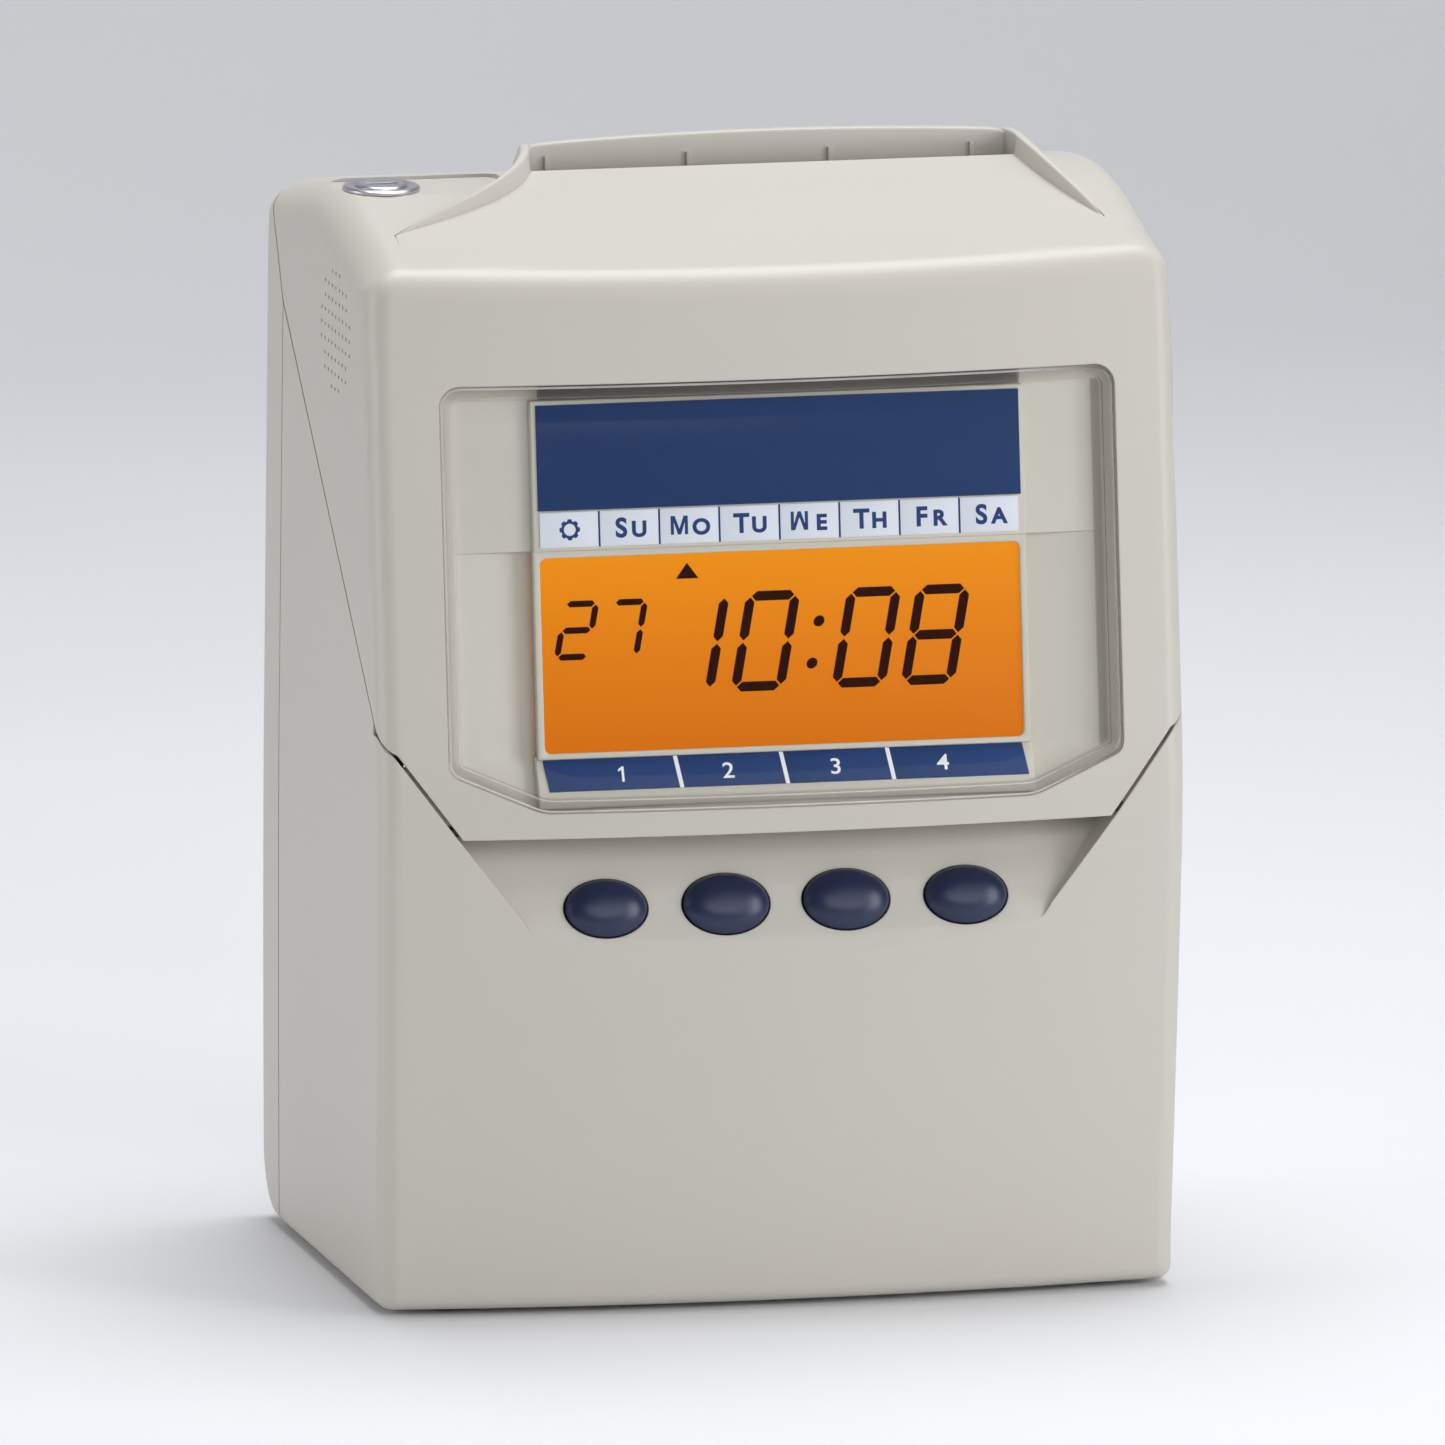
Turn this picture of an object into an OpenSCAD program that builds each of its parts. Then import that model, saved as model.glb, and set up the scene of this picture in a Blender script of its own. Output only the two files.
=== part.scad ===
// Punch time clock: a desk or wall time recorder that stamps a paper card pushed in at the top.
// Millimetres. X to the right of a person facing it, Y away from them, Z up.
// Every module draws in case coordinates: y from the nose of the front, z from the case underside.

/* [Case] */
// overall width of the case
case_w = 198; // [196:1:202]
// overall depth of the case
case_d = 132; // [132:1:136]
// height of the top front edge above the case underside
front_h = 247; // [246:1:249]
// wall thickness of the moulded shells
wall = 2.5; // [2.2:0.1:2.8]
// height of the rubber feet
foot_h = 1.5; // [1.5:0.5:3]
// radius of the upright front corners
corner_r = 5; // [4:0.5:6]
// how much the front bulges: depth lost at the sides, middle as zero
front_sag = 6.8; // [6:0.2:8]
// gap at the seams between the shells
seam_gap = 0.6; // [0.5:0.1:0.8]

/* [Front] */
// height of the nose line, where the upper front starts to lean back
nose_z = 122; // [120:1:124]
// distance the upper front leans back by its top edge
lean_back = 20; // [19:0.5:21]
// distance the lower front runs back by the underside
foot_back = 2.5; // [2:0.5:3]
// width of the display window
window_w = 166; // [164:1:167]
// height of the lower edge of the window
window_low = 121; // [120.5:0.5:121.5]
// height of the upper edge of the window
window_high = 222; // [221:0.5:223]

/* [Display] */
// width of the lit display
lcd_w = 118; // [116:1:119]
// pitch of the four buttons
button_pitch = 29.5; // [29:0.5:30]
// width of the two middle buttons
button_w = 21; // [20:0.5:22]
// travel of a button
button_travel = 1.2; // [1:0.1:1.3]

/* [Card] */
// width of the card slot in the cover
throat_w = 112; // [110:1:114]
// gap between the two card guide plates
card_gap = 2.6; // [2.2:0.2:3]
// side offset of the card path from the middle of the case
card_x = 12; // [11:0.5:13]
// distance of the card plane behind the nose
card_y = 85; // [84.5:0.5:85.5]

/* [Mechanism] */
// radius of the rubber feed rollers
feed_r = 6; // [5.8:0.1:6.2]
// radius of the free pinch rollers
pinch_r = 5; // [4.8:0.1:5.2]
// teeth on the feed gear
gear_teeth = 36; // [36:12:36]
// teeth on the motor pinion
pinion_teeth = 12; // [12:1:12]
// gear tooth module
gear_mod = 0.8; // [0.8:0.1:0.8]
// radius of the round rods that carry the print carriage
rod_r = 2.5; // [2.4:0.1:2.6]
// running clearance of a shaft in its hole
run_gap = 0.05; // [0.04:0.01:0.08]
// pitch radius of the timing belt pulleys
pulley_r = 6; // [5.8:0.1:6.2]

/* [Hidden] */
$fn = 48;
half_w = case_w / 2;
lean_angle = atan(lean_back / (front_h - nose_z));
foot_angle = atan(foot_back / nose_z);
bow = front_sag / pow(half_w, 2);
bow_steps = 12;
roof_slope = 13.6;
roof_low = front_h - tan(roof_slope) * (lean_back + 1);
rear_slope = 11.5;
roof_rear = 279;
roof_r = 85;
rear_corner_r = 8;
rear_low_r = 16;
roof_side_r = 10;
// the rounded cross-section sits just over the roof, so that the side view sets the roof itself
roof_margin = 0.3;
back_corner_r = 4;
reach = 400;

// the seams
seam_low = [9.5, 135.5];
seam_high = [113, 226.1];
rear_seam_y = 113;
rear_seam_top_y = 127;
skirt_low = 115;
skirt_low_x = 80.7;
skirt_slant = 53;
skirt_depth = 17;
hinge_y = 7;
hinge_z = 116.8;
pin_r = 1.2;
pin_near_x = 73;
pin_far_x = 87.2;
boss_near_x = 72;
boss_far_x = 82;
swing_r = 3.2;
socket_x = 84.5;
socket_end_x = 91.3;
socket_r = 3;

// the button recess
panel_tilt = 66;
panel_root = [0.7, 85];
scoop_tilt = 46;
scoop_root = [10, 106];
recess_top_x = 80.9;
recess_top_z = 115.3;
recess_mid_x = 65;
recess_mid_z = 95;
recess_low_x = 56;
recess_low_z = 80;
recess_back_y = 22;
button_s = 13.1;
panel_button_depth = 8.5;
button_ratio = 0.7;
button_rise = 4;
button_hole_gap = 0.5;
button_xs = [for (i = [0 : 3]) (i - 1.5) * button_pitch];

// the card throat
throat_left = card_x - throat_w / 2;
throat_right = card_x + throat_w / 2;
lip_y = card_y - 3;
throat_back_y = card_y + 3;
throat_wall = 3;
throat_peak = 268.6;
throat_side_peak = 266.6;
fin_tip_y = 47;
fin_shoulder_y = 74;
fin_rise = 4.6;
fin_crest = 266.9;
fin_left_x = -86;
fin_right_x = 86;
fin_root_left = throat_left;
fin_root_right = throat_right + 4;
fin_w = 2.4;

// the lock
lock_x = -83;
lock_y = 80;
lock_z = 258.9;
lock_r = 9.25;
plug_r = 6;
barrel_r = 7.8;
barrel_depth = 20;

// the speaker, behind its patch of sound holes
speaker_y = 58;
speaker_z = 228;
speaker_r = 15;
sound_pitch = 3.5;
sound_hole = 1.1;

// the mechanism
plate_left = card_x - 52;
plate_right = card_x + 52;
plate_t = 1.5;
frame_y = 106;
plate_low = 92;
plate_high = 212;
back_low = 62;
back_high = 228;
tab_y = 44;
guide_low = 72;
guide_high = 232;
feed_z = 120;
feed_y = card_y - 0.2 - feed_r;
pinch_y = card_y + 0.2 + pinch_r;
shaft_r = 2;
roller_xs = [card_x - 20, card_x + 20];
roller_w = 9;
gear_r = gear_teeth * gear_mod / 2;
pinion_r = pinion_teeth * gear_mod / 2;
motor_drop = 48;
motor_y = feed_y - (gear_r + pinion_r) * cos(motor_drop);
motor_z = feed_z - (gear_r + pinion_r) * sin(motor_drop);
rod_y = 60;
rod_zs = [150, 180];
belt_z = 165;
belt_y = 49;
pulley_xs = [card_x - 42, card_x + 42];
print_z = 165;
guide_t = 1;

// ---------- small helpers ----------

function arc(cx, cy, r, from, to, steps) =
    [for (i = [0 : steps]) let (a = from + (to - from) * i / steps) [cx + r * cos(a), cy + r * sin(a)]];

// turns a drawing of (y, z) into a slab across X
module across(width, x = 0) {
    translate([x - width / 2, 0, 0]) rotate([90, 0, 90]) linear_extrude(width) children();
}

// turns a drawing of (x, z) into a slab from y0 to y1
module along(y0, y1) {
    translate([0, y1, 0]) rotate([90, 0, 0]) linear_extrude(y1 - y0) children();
}

module block(x0, x1, y0, y1, z0, z1) {
    translate([x0, y0, z0]) cube([x1 - x0, y1 - y0, z1 - z0]);
}

module rod_x(x0, x1, y, z, r) {
    translate([x0, y, z]) rotate([0, 90, 0]) cylinder(h = x1 - x0, r = r);
}

module rod_y(x, z, y0, y1, r) {
    translate([x, y1, z]) rotate([90, 0, 0]) cylinder(h = y1 - y0, r = r);
}

// puts its children flat on the slope of the upper front, depth measured into the case
module on_front(depth) {
    translate([0, 0, nose_z]) rotate([90 - lean_angle, 0, 0]) translate([0, -nose_z, -depth]) children();
}

// puts its children on the button panel: local z points out of the panel
module on_panel() {
    translate([0, panel_root[0], panel_root[1]]) rotate([panel_tilt, 0, 0]) children();
}

// ---------- the case block ----------

function front_curve(inset) =
    [for (i = [0 : bow_steps])
        let (x = (half_w - corner_r) * (2 * i / bow_steps - 1)) [x, inset + bow * x * x]];

module plan_shape(inset) {
    side = half_w - inset;
    r = corner_r - inset * 0.6;
    low = inset + bow * pow(half_w - corner_r, 2);
    polygon(concat(
        [for (p = front_curve(inset)) [p[0] * (side - r) / (half_w - corner_r), p[1]]],
        arc(side - r, low + r, r, -80, 0, 4),
        [[side, reach], [-side, reach]],
        arc(r - side, low + r, r, 180, 260, 4)));
}

module front_prism(inset, angle) {
    translate([0, 0, nose_z]) rotate([angle, 0, 0])
        translate([0, 0, -reach / 2]) linear_extrude(reach) plan_shape(inset);
}

function roof_meet() = (roof_rear - roof_low) / (tan(roof_slope) + tan(rear_slope));
function roof_tangent() = roof_r * tan((roof_slope + rear_slope) / 2);

// the side view of the case: underside, back and roof, left open well past the front
module side_shape(inset) {
    meet_y = roof_meet();
    meet_z = roof_low + tan(roof_slope) * meet_y;
    start_y = meet_y - roof_tangent() * cos(roof_slope);
    start_z = meet_z - roof_tangent() * sin(roof_slope);
    cy = start_y + roof_r * sin(roof_slope);
    cz = start_z - roof_r * cos(roof_slope);
    rc = rear_corner_r;
    rear_z = roof_rear - tan(rear_slope) * (case_d - rc) - rc / cos(rear_slope);
    low_r = rear_low_r - inset;
    polygon(concat(
        [[-30, inset]],
        arc(case_d - rear_low_r, rear_low_r, low_r, -90, 0, 6),
        arc(case_d - rc, rear_z, rc - inset, 0, 90 - rear_slope, 4),
        arc(cy, cz, roof_r - inset, 90 - rear_slope, 90 + roof_slope, 8),
        [[-30, roof_low - tan(roof_slope) * 30 - inset / cos(roof_slope)]]));
}

// a cross-section with rounded upper corners, swept along one slope of the roof
module roof_prism(inset, height, angle) {
    side = half_w - inset;
    r = roof_side_r - inset;
    translate([0, 0, height]) rotate([angle, 0, 0])
        along(-reach, reach)
            polygon(concat(
                [[-side, -reach], [side, -reach]],
                arc(side - r, -r - inset, r, 0, 90, 5),
                arc(r - side, -r - inset, r, 90, 180, 5)));
}

module back_prism(inset) {
    side = half_w - inset;
    r = back_corner_r - inset * 0.6;
    back = case_d - inset;
    translate([0, 0, -30]) linear_extrude(reach)
        polygon(concat(
            [[-side, -30], [side, -30]],
            arc(side - r, back - r, r, 0, 90, 4),
            arc(r - side, back - r, r, 90, 180, 4)));
}

module case_block(inset) {
    intersection() {
        front_prism(inset, foot_angle);
        front_prism(inset, -lean_angle);
        across(case_w + 2) side_shape(inset);
        roof_prism(inset, roof_low + roof_margin, roof_slope);
        roof_prism(inset, roof_rear + roof_margin, -rear_slope);
        back_prism(inset);
    }
}

module case_shell() {
    difference() {
        case_block(0);
        case_block(wall);
    }
}

// ---------- where the shells part ----------

function seam_z(y) =
    seam_low[1] + (seam_high[1] - seam_low[1]) * (y - seam_low[0]) / (seam_high[0] - seam_low[0]);

// side view of the rear housing
module rear_zone() {
    polygon([[rear_seam_y, -30], [reach, -30], [reach, reach], [rear_seam_top_y, reach],
             [rear_seam_top_y, 252], seam_high]);
}

// side view of the lower housing, in front of the rear seam and under the slanting one
module housing_zone() {
    y = rear_seam_y - seam_gap;
    polygon([[-40, -30], [y, -30], [y, seam_z(y)], [-40, seam_z(-40)]]);
}

// side view of the cover, above the slanting seam and in front of the rear housing
module cover_zone(gap) {
    y = rear_seam_top_y - gap;
    polygon([[-40, seam_z(-40) + gap], seam_high + [-gap, gap], [y, 252 + gap], [y, reach], [-40, reach]]);
}

// front view of the tongue of the cover that reaches down between the housing corners
module skirt_zone(gap) {
    rise = 45;
    high_x = skirt_low_x + rise / tan(skirt_slant);
    polygon([[gap - skirt_low_x, skirt_low], [skirt_low_x - gap, skirt_low],
             [high_x - gap, skirt_low + rise], [gap - high_x, skirt_low + rise]]);
}

module cover_space(gap) {
    across(case_w + 4) cover_zone(gap);
    intersection() {
        along(-40, skirt_depth - gap) skirt_zone(gap);
        block(-94, 94, -50, 50, 0, 160);
    }
}

// ---------- rear housing ----------

inlet_x = 58;
inlet_z = 30;
wall_hole_x = 55;
wall_hole_z = 205;
wall_hole_r = 2.5;
screw_xs = [-86, 86];
screw_zs = [24, 196];
screw_r = 1.6;
screw_boss_r = 5;
boss_front_y = 98;
web_t = 2.4;

module screw_spots() {
    for (x = screw_xs) for (z = screw_zs) translate([x, 0, z]) children();
}

module rear_housing() {
    color([0.74, 0.73, 0.69])
    difference() {
        union() {
            intersection() {
                case_shell();
                across(case_w + 2) rear_zone();
            }
            intersection() {
                case_block(1);
                screw_spots() rod_y(0, 0, rear_seam_y, case_d - 1, screw_boss_r);
            }
            // posts for the chassis frame
            for (x = [card_x - 36, card_x + 36]) for (z = [70, 190]) rod_y(x, z, 107.5, case_d - 2, 4);
        }
        screw_spots() rod_y(0, 0, rear_seam_y - 1, case_d + 1, screw_r + 0.1);
        screw_spots() rod_y(0, 0, case_d - 8, case_d + 1, 3.4);
        for (x = [-wall_hole_x, wall_hole_x]) rod_y(x, wall_hole_z, case_d - 5, case_d + 1, wall_hole_r);
        block(inlet_x - 12, inlet_x + 12, case_d - 6, case_d + 1, inlet_z - 8, inlet_z + 8);
        // cooling slots
        for (i = [0 : 6]) block(-64 + i * 8, -60 + i * 8, case_d - 5, case_d + 1, 82, 120);
    }
}

// ---------- lower housing ----------

// the space of the button recess, grown outward by a wall for its lining
module recess_space(grow) {
    intersection() {
        along(-30, recess_back_y + grow)
            polygon([[-recess_top_x - grow, 120 + grow], [-recess_top_x - grow, recess_top_z],
                     [-recess_mid_x - grow, recess_mid_z], [-recess_low_x - grow, recess_low_z - grow],
                     [recess_low_x + grow, recess_low_z - grow], [recess_mid_x + grow, recess_mid_z],
                     [recess_top_x + grow, recess_top_z], [recess_top_x + grow, 120 + grow]]);
        union() {
            on_panel() translate([-reach / 2, -reach / 2, -grow]) cube(reach);
            // the panel curves back towards its top
            translate([0, scoop_root[0], scoop_root[1]]) rotate([scoop_tilt, 0, 0])
                translate([-reach / 2, -reach / 2, -grow]) cube(reach);
        }
    }
}

module hinge_socket(side) {
    left = side > 0 ? socket_x : -socket_end_x;
    difference() {
        intersection() {
            case_block(0.5);
            rod_x(left, left + socket_end_x - socket_x, hinge_y, hinge_z, socket_r);
        }
        rod_x(-pin_far_x - 0.4, pin_far_x + 0.4, hinge_y, hinge_z, pin_r + run_gap);
    }
}

module oval(r) {
    polygon([for (a = [0 : 9 : 351]) [r * cos(a), r * button_ratio * sin(a)]]);
}

module button_hole(x, w) {
    on_panel() translate([x, button_s, -10]) linear_extrude(20) oval(w / 2 + button_hole_gap);
}

function button_size(i) = button_w - (i == 0 || i == 3 ? 1 : 0);

module lower_housing() {
    color([0.78, 0.76, 0.72])
    difference() {
        union() {
            intersection() {
                case_shell();
                across(case_w + 4) housing_zone();
            }
            intersection() {
                case_block(0.5);
                recess_space(wall);
                block(-100, 100, -10, 60, 0, skirt_low + 2);
            }
            for (side = [-1, 1]) hinge_socket(side);
            intersection() {
                case_block(1);
                union() {
                    screw_spots() rod_y(0, 0, boss_front_y, rear_seam_y - seam_gap, screw_boss_r);
                    // webs that tie the bosses to the side walls
                    for (z = screw_zs) for (x = [-100, 88])
                        block(x, x + 12, boss_front_y, rear_seam_y - seam_gap, z - web_t / 2, z + web_t / 2);
                }
            }
        }
        recess_space(0);
        along(-40, skirt_depth) skirt_zone(0);
        for (i = [0 : 3]) button_hole(button_xs[i], button_size(i));
        screw_spots() rod_y(0, 0, 100, rear_seam_y + 1, screw_r);
        // room for the lower edge of the cover to swing between the hinge sockets
        rod_x(0.2 - socket_x, socket_x - 0.2, hinge_y, hinge_z, swing_r);
        rod_x(-pin_far_x - 0.4, pin_far_x + 0.4, hinge_y, hinge_z, pin_r + run_gap);
    }
}

// ---------- cover ----------

function window_points(d) = concat(
    arc(window_w / 2 - 5, window_high - 5, 5 - d, 0, 90, 4),
    arc(5 - window_w / 2, window_high - 5, 5 - d, 90, 180, 4),
    [[d - window_w / 2, window_low + 9.5 + d * 0.4], [d * 0.4 - 60.5, window_low + d],
     [60.5 - d * 0.4, window_low + d], [window_w / 2 - d, window_low + 9.5 + d * 0.4]]);

// everything under the plane of the front roof slope, raised by lift at its own angle
module under_slope(height, angle) {
    translate([0, 0, height]) rotate([angle, 0, 0]) translate([-reach / 2, -reach / 2, -reach]) cube(reach);
}

// straight ramp that carries on past the point where the roof starts to curve down
module throat_ramp() {
    intersection() {
        under_slope(roof_low, roof_slope);
        translate([0, 0, 240]) linear_extrude(40)
            polygon([[fin_left_x, fin_tip_y], [fin_root_left, lip_y],
                     [fin_root_right, lip_y], [fin_right_x, fin_tip_y]]);
    }
}

function ramp_z(y) = roof_low + tan(roof_slope) * y;

// thin wall that climbs from its tip on the roof, then runs level with the ramp to the end of the rear wall
module fin(tip_x, root_x) {
    side = sign(tip_x);
    tip_z = ramp_z(fin_tip_y) - 0.4;
    climb = atan((ramp_z(fin_shoulder_y) + fin_rise - tip_z) / (fin_shoulder_y - fin_tip_y));
    intersection() {
        under_slope(tip_z - tan(climb) * fin_tip_y, climb);
        under_slope(roof_low + fin_rise, roof_slope);
        translate([0, 0, 240]) linear_extrude(fin_crest - 240)
            polygon([[tip_x - side, fin_tip_y - 2], [root_x - side * 0.5, lip_y],
                     [root_x - side * 0.5, throat_back_y + 1],
                     [root_x + side * fin_w, throat_back_y + throat_wall - 0.2],
                     [root_x + side * (fin_w + 3), lip_y - 2], [tip_x + side * 0.4, fin_tip_y - 2]]);
    }
}

module throat_rear_wall() {
    rise = throat_peak - throat_side_peak;
    middle = (fin_root_left + fin_root_right) / 2;
    half = (fin_root_right - fin_root_left) / 2 + 1;
    along(throat_back_y, throat_back_y + throat_wall)
        polygon(concat(
            [[fin_root_left - 1, 240], [fin_root_right + 1, 240]],
            [for (i = [8 : -1 : -8])
                [middle + i / 8 * half, throat_side_peak + rise * (1 - pow(i / 8, 2))]]));
    // ribs that keep the card off the rear wall
    for (i = [-1.5 : 1 : 1.5])
        block(card_x + i * 35 - 0.6, card_x + i * 35 + 0.6, throat_back_y - 1, throat_back_y, 250, 264);
}

module lock_boss() {
    translate([lock_x, lock_y, 242]) cylinder(h = lock_z - 242, r = barrel_r + 2.5);
}

module hinge_boss(side) {
    near = side > 0 ? boss_near_x : -boss_far_x;
    rod_x(near, near + boss_far_x - boss_near_x, hinge_y, hinge_z + 0.4, 3);
}

// round patch of small holes over the speaker
module sound_holes() {
    for (i = [-4 : 4]) for (j = [-4 : 4]) if (norm([i, j]) * sound_pitch < 15)
        block(-half_w - 1, -half_w + wall + 1,
              speaker_y + i * sound_pitch - sound_hole / 2, speaker_y + i * sound_pitch + sound_hole / 2,
              speaker_z + j * sound_pitch - sound_hole / 2, speaker_z + j * sound_pitch + sound_hole / 2);
}

module upper_cover() {
    color([0.80, 0.79, 0.75])
    difference() {
        union() {
            difference() {
                union() {
                    intersection() {
                        case_shell();
                        cover_space(seam_gap);
                    }
                    intersection() {
                        case_block(1);
                        lock_boss();
                    }
                }
                // shallow pocket around the lock
                block(-100, -54, 66, 92, lock_z, 280);
            }
            intersection() {
                case_block(0);
                along(-5, 16) skirt_zone(seam_gap);
                union() {
                    block(-95, 95, -5, 16, skirt_low, skirt_low + wall);
                    for (side = [-1, 1]) hinge_boss(side);
                }
            }
            difference() {
                union() {
                    throat_ramp();
                    fin(fin_left_x, fin_root_left);
                    fin(fin_right_x, fin_root_right);
                    throat_rear_wall();
                }
                case_block(wall);
            }
        }
        along(-10, 40) polygon(window_points(0));
        block(throat_left + 1, fin_root_right - 1, lip_y, throat_back_y - 1, 235, 290);
        translate([lock_x, lock_y, 200]) cylinder(h = 90, r = barrel_r);
        sound_holes();
        rod_x(-100, 100, hinge_y, hinge_z, pin_r);
    }
}

module hinge_pins() {
    color([0.7, 0.7, 0.72])
    for (x = [-pin_far_x, pin_near_x]) rod_x(x, x + pin_far_x - pin_near_x, hinge_y, hinge_z, pin_r);
}

module window_lens() {
    color([0.85, 0.88, 0.9, 0.35])
    intersection() {
        difference() {
            front_prism(0.3, -lean_angle);
            front_prism(2.3, -lean_angle);
        }
        along(-10, 40) polygon(window_points(0.25));
    }
}

// ---------- display, drawn flat on the leaning front: x, distance up the slope, height out of it ----------

bezel_plate = -9;
raised = -5.6;
ledge_rise = 0.3;
ledge_fall = 2.4;
lcd_low = 135.5;
lcd_high = 182.5;
ledge_low = 126;
number_edges = [-59.3, -26.4, -0.4, 25.7, 59.5];

module bezel_outline(d) {
    on_front(0) translate([0, 0, -30]) linear_extrude(40) polygon([for (p = window_points(d))
        [p[0], nose_z + (p[1] - nose_z) / cos(lean_angle)]]);
}

module display_bezel() {
    color([0.70, 0.70, 0.66])
    intersection() {
        front_prism(wall + 0.1, -lean_angle);
        front_prism(wall + 0.1, foot_angle);
        // clear of the shelf along the lower edge of the cover
        block(-half_w, half_w, -10, case_d, skirt_low + wall + 0.3, front_h);
        bezel_outline(-3);
        on_front(0) difference() {
            union() {
                block(-95, 95, 100, 240, bezel_plate - 2, bezel_plate);
                block(-61, 61, lcd_high + 1, 219.6, bezel_plate - 1, raised);
                for (x = [-61, 59])
                    block(x, x + 2, lcd_low - 1, lcd_high + 2, bezel_plate - 1, raised - 1);
                across(122) polygon([[lcd_low - 0.3, bezel_plate - 1], [lcd_low - 0.3, raised - ledge_fall],
                                     [ledge_low, raised + ledge_rise], [ledge_low - 1.5, raised + ledge_rise],
                                     [ledge_low - 1.5, bezel_plate - 1]]);
            }
            block(-57, 57, lcd_low + 1.5, lcd_high - 1.5, -20, 5);
        }
    }
}

module header_plate() {
    color([0.16, 0.25, 0.42])
    on_front(0) block(-59, 59, 193.6, 218.8, raised, raised + 0.5);
}

module day_strip() {
    color([0.80, 0.85, 0.90])
    on_front(0) for (i = [0 : 7])
        block(-59 + i * 14.75, -59.4 + (i + 1) * 14.75, 184.8, 193.2, raised, raised + 0.4);
}

module lcd_glass() {
    color([0.92, 0.55, 0.05])
    on_front(0) block(-59, 59, lcd_low, lcd_high, bezel_plate, bezel_plate + 1.8);
}

// one bar of a digit, a long hexagon from one end to the other
module bar(length, t) {
    polygon([[0, 0], [t / 2, t / 2], [length - t / 2, t / 2],
             [length, 0], [length - t / 2, -t / 2], [t / 2, -t / 2]]);
}

// seven-bar digit; lit lists the bars in the order top, upper right, lower right, bottom,
// lower left, upper left, middle
module digit(w, h, t, lit) {
    gap = 0.3;
    half = h / 2;
    starts = [[0, h], [w, half], [w, 0], [0, 0], [0, 0], [0, half], [0, half]];
    angles = [0, 90, 90, 0, 90, 90, 0];
    for (i = [0 : 6]) if (lit[i] == 1)
        translate(starts[i]) rotate(angles[i]) translate([gap, 0])
            bar((angles[i] == 0 ? w : half) - 2 * gap, t);
}

module slanted() {
    multmatrix([[1, 0.2, 0, 0], [0, 1, 0, 0], [0, 0, 1, 0], [0, 0, 0, 1]]) children();
}

shapes = [[1, 1, 1, 1, 1, 1, 0], [0, 1, 1, 0, 0, 0, 0], [1, 1, 0, 1, 1, 0, 1], [1, 1, 1, 1, 0, 0, 1],
          [0, 1, 1, 0, 0, 1, 1], [1, 0, 1, 1, 0, 1, 1], [1, 0, 1, 1, 1, 1, 1], [1, 1, 1, 0, 0, 0, 0],
          [1, 1, 1, 1, 1, 1, 1], [1, 1, 1, 1, 0, 1, 1]];
large_digits = [1, 0, 0, 8];
large_xs = [-29, -11.6, 13.2, 30.2];
small_digits = [2, 7];
small_xs = [-55.2, -43.2];

module lcd_segments() {
    color([0.2, 0.08, 0.02])
    on_front(0) translate([0, 0, bezel_plate + 1.8]) linear_extrude(0.2) {
        translate([0, 150]) slanted() {
            for (i = [0 : 3]) translate([large_xs[i], 0]) digit(11, 21.5, 2.3, shapes[large_digits[i]]);
            for (i = [0, 1]) translate([6.3, 5 + i * 10]) circle(r = 1.3);
        }
        translate([0, 158.6]) slanted()
            for (i = [0, 1]) translate([small_xs[i], 0]) digit(7.4, 12.6, 1.5, shapes[small_digits[i]]);
        polygon([[-25.5, 176.3], [-20, 176.3], [-22.75, 180]]);
    }
}

module backlight() {
    color([0.95, 0.93, 0.85])
    on_front(0) block(-60, 60, 133, 184, -14, bezel_plate - 2);
}

module display_board() {
    color([0.10, 0.35, 0.20])
    on_front(0) block(-66, 66, 128, 214, -15.6, -14);
}

module number_strip() {
    run = lcd_low - 0.3 - ledge_low;
    slope = atan((ledge_rise + ledge_fall) / run);
    color([0.17, 0.27, 0.47])
    on_front(0) translate([0, ledge_low, raised + ledge_rise]) rotate([-slope, 0, 0])
        for (i = [0 : 3]) block(number_edges[i] + 0.5, number_edges[i + 1] - 0.5, 1, 8.5, 0, 0.4);
}

// ---------- lock and speaker ----------

module lock_barrel() {
    color([0.80, 0.81, 0.83])
    difference() {
        union() {
            translate([lock_x, lock_y, lock_z]) cylinder(h = 1.2, r = lock_r);
            translate([lock_x, lock_y, lock_z - barrel_depth]) cylinder(h = barrel_depth, r = barrel_r);
        }
        translate([lock_x, lock_y, 200]) cylinder(h = 90, r = plug_r + run_gap);
    }
}

module lock_plug() {
    low = lock_z - barrel_depth - 2;
    color([0.72, 0.73, 0.75])
    difference() {
        union() {
            translate([lock_x, lock_y, low]) cylinder(h = lock_z + 1.5 - low, r = plug_r);
            translate([lock_x, lock_y, low - 3]) cylinder(h = 4, r = 3);
        }
        block(lock_x - 4, lock_x + 4, lock_y - 0.9, lock_y + 0.9, lock_z - 14, lock_z + 5);
    }
}

module lock_cam() {
    top = lock_z - barrel_depth - 2;
    color([0.75, 0.74, 0.70])
    difference() {
        union() {
            translate([lock_x, lock_y, top - 2]) cylinder(h = 2, r = 6.5);
            block(lock_x - 5, lock_x + 5, lock_y - 24, lock_y, top - 2, top);
        }
        translate([lock_x, lock_y, top - 5]) cylinder(h = 10, r = 3);
    }
}

module speaker() {
    color([0.15, 0.15, 0.16])
    rod_x(-half_w + wall, -91, speaker_y, speaker_z, speaker_r);
}

// ---------- buttons ----------

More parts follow.
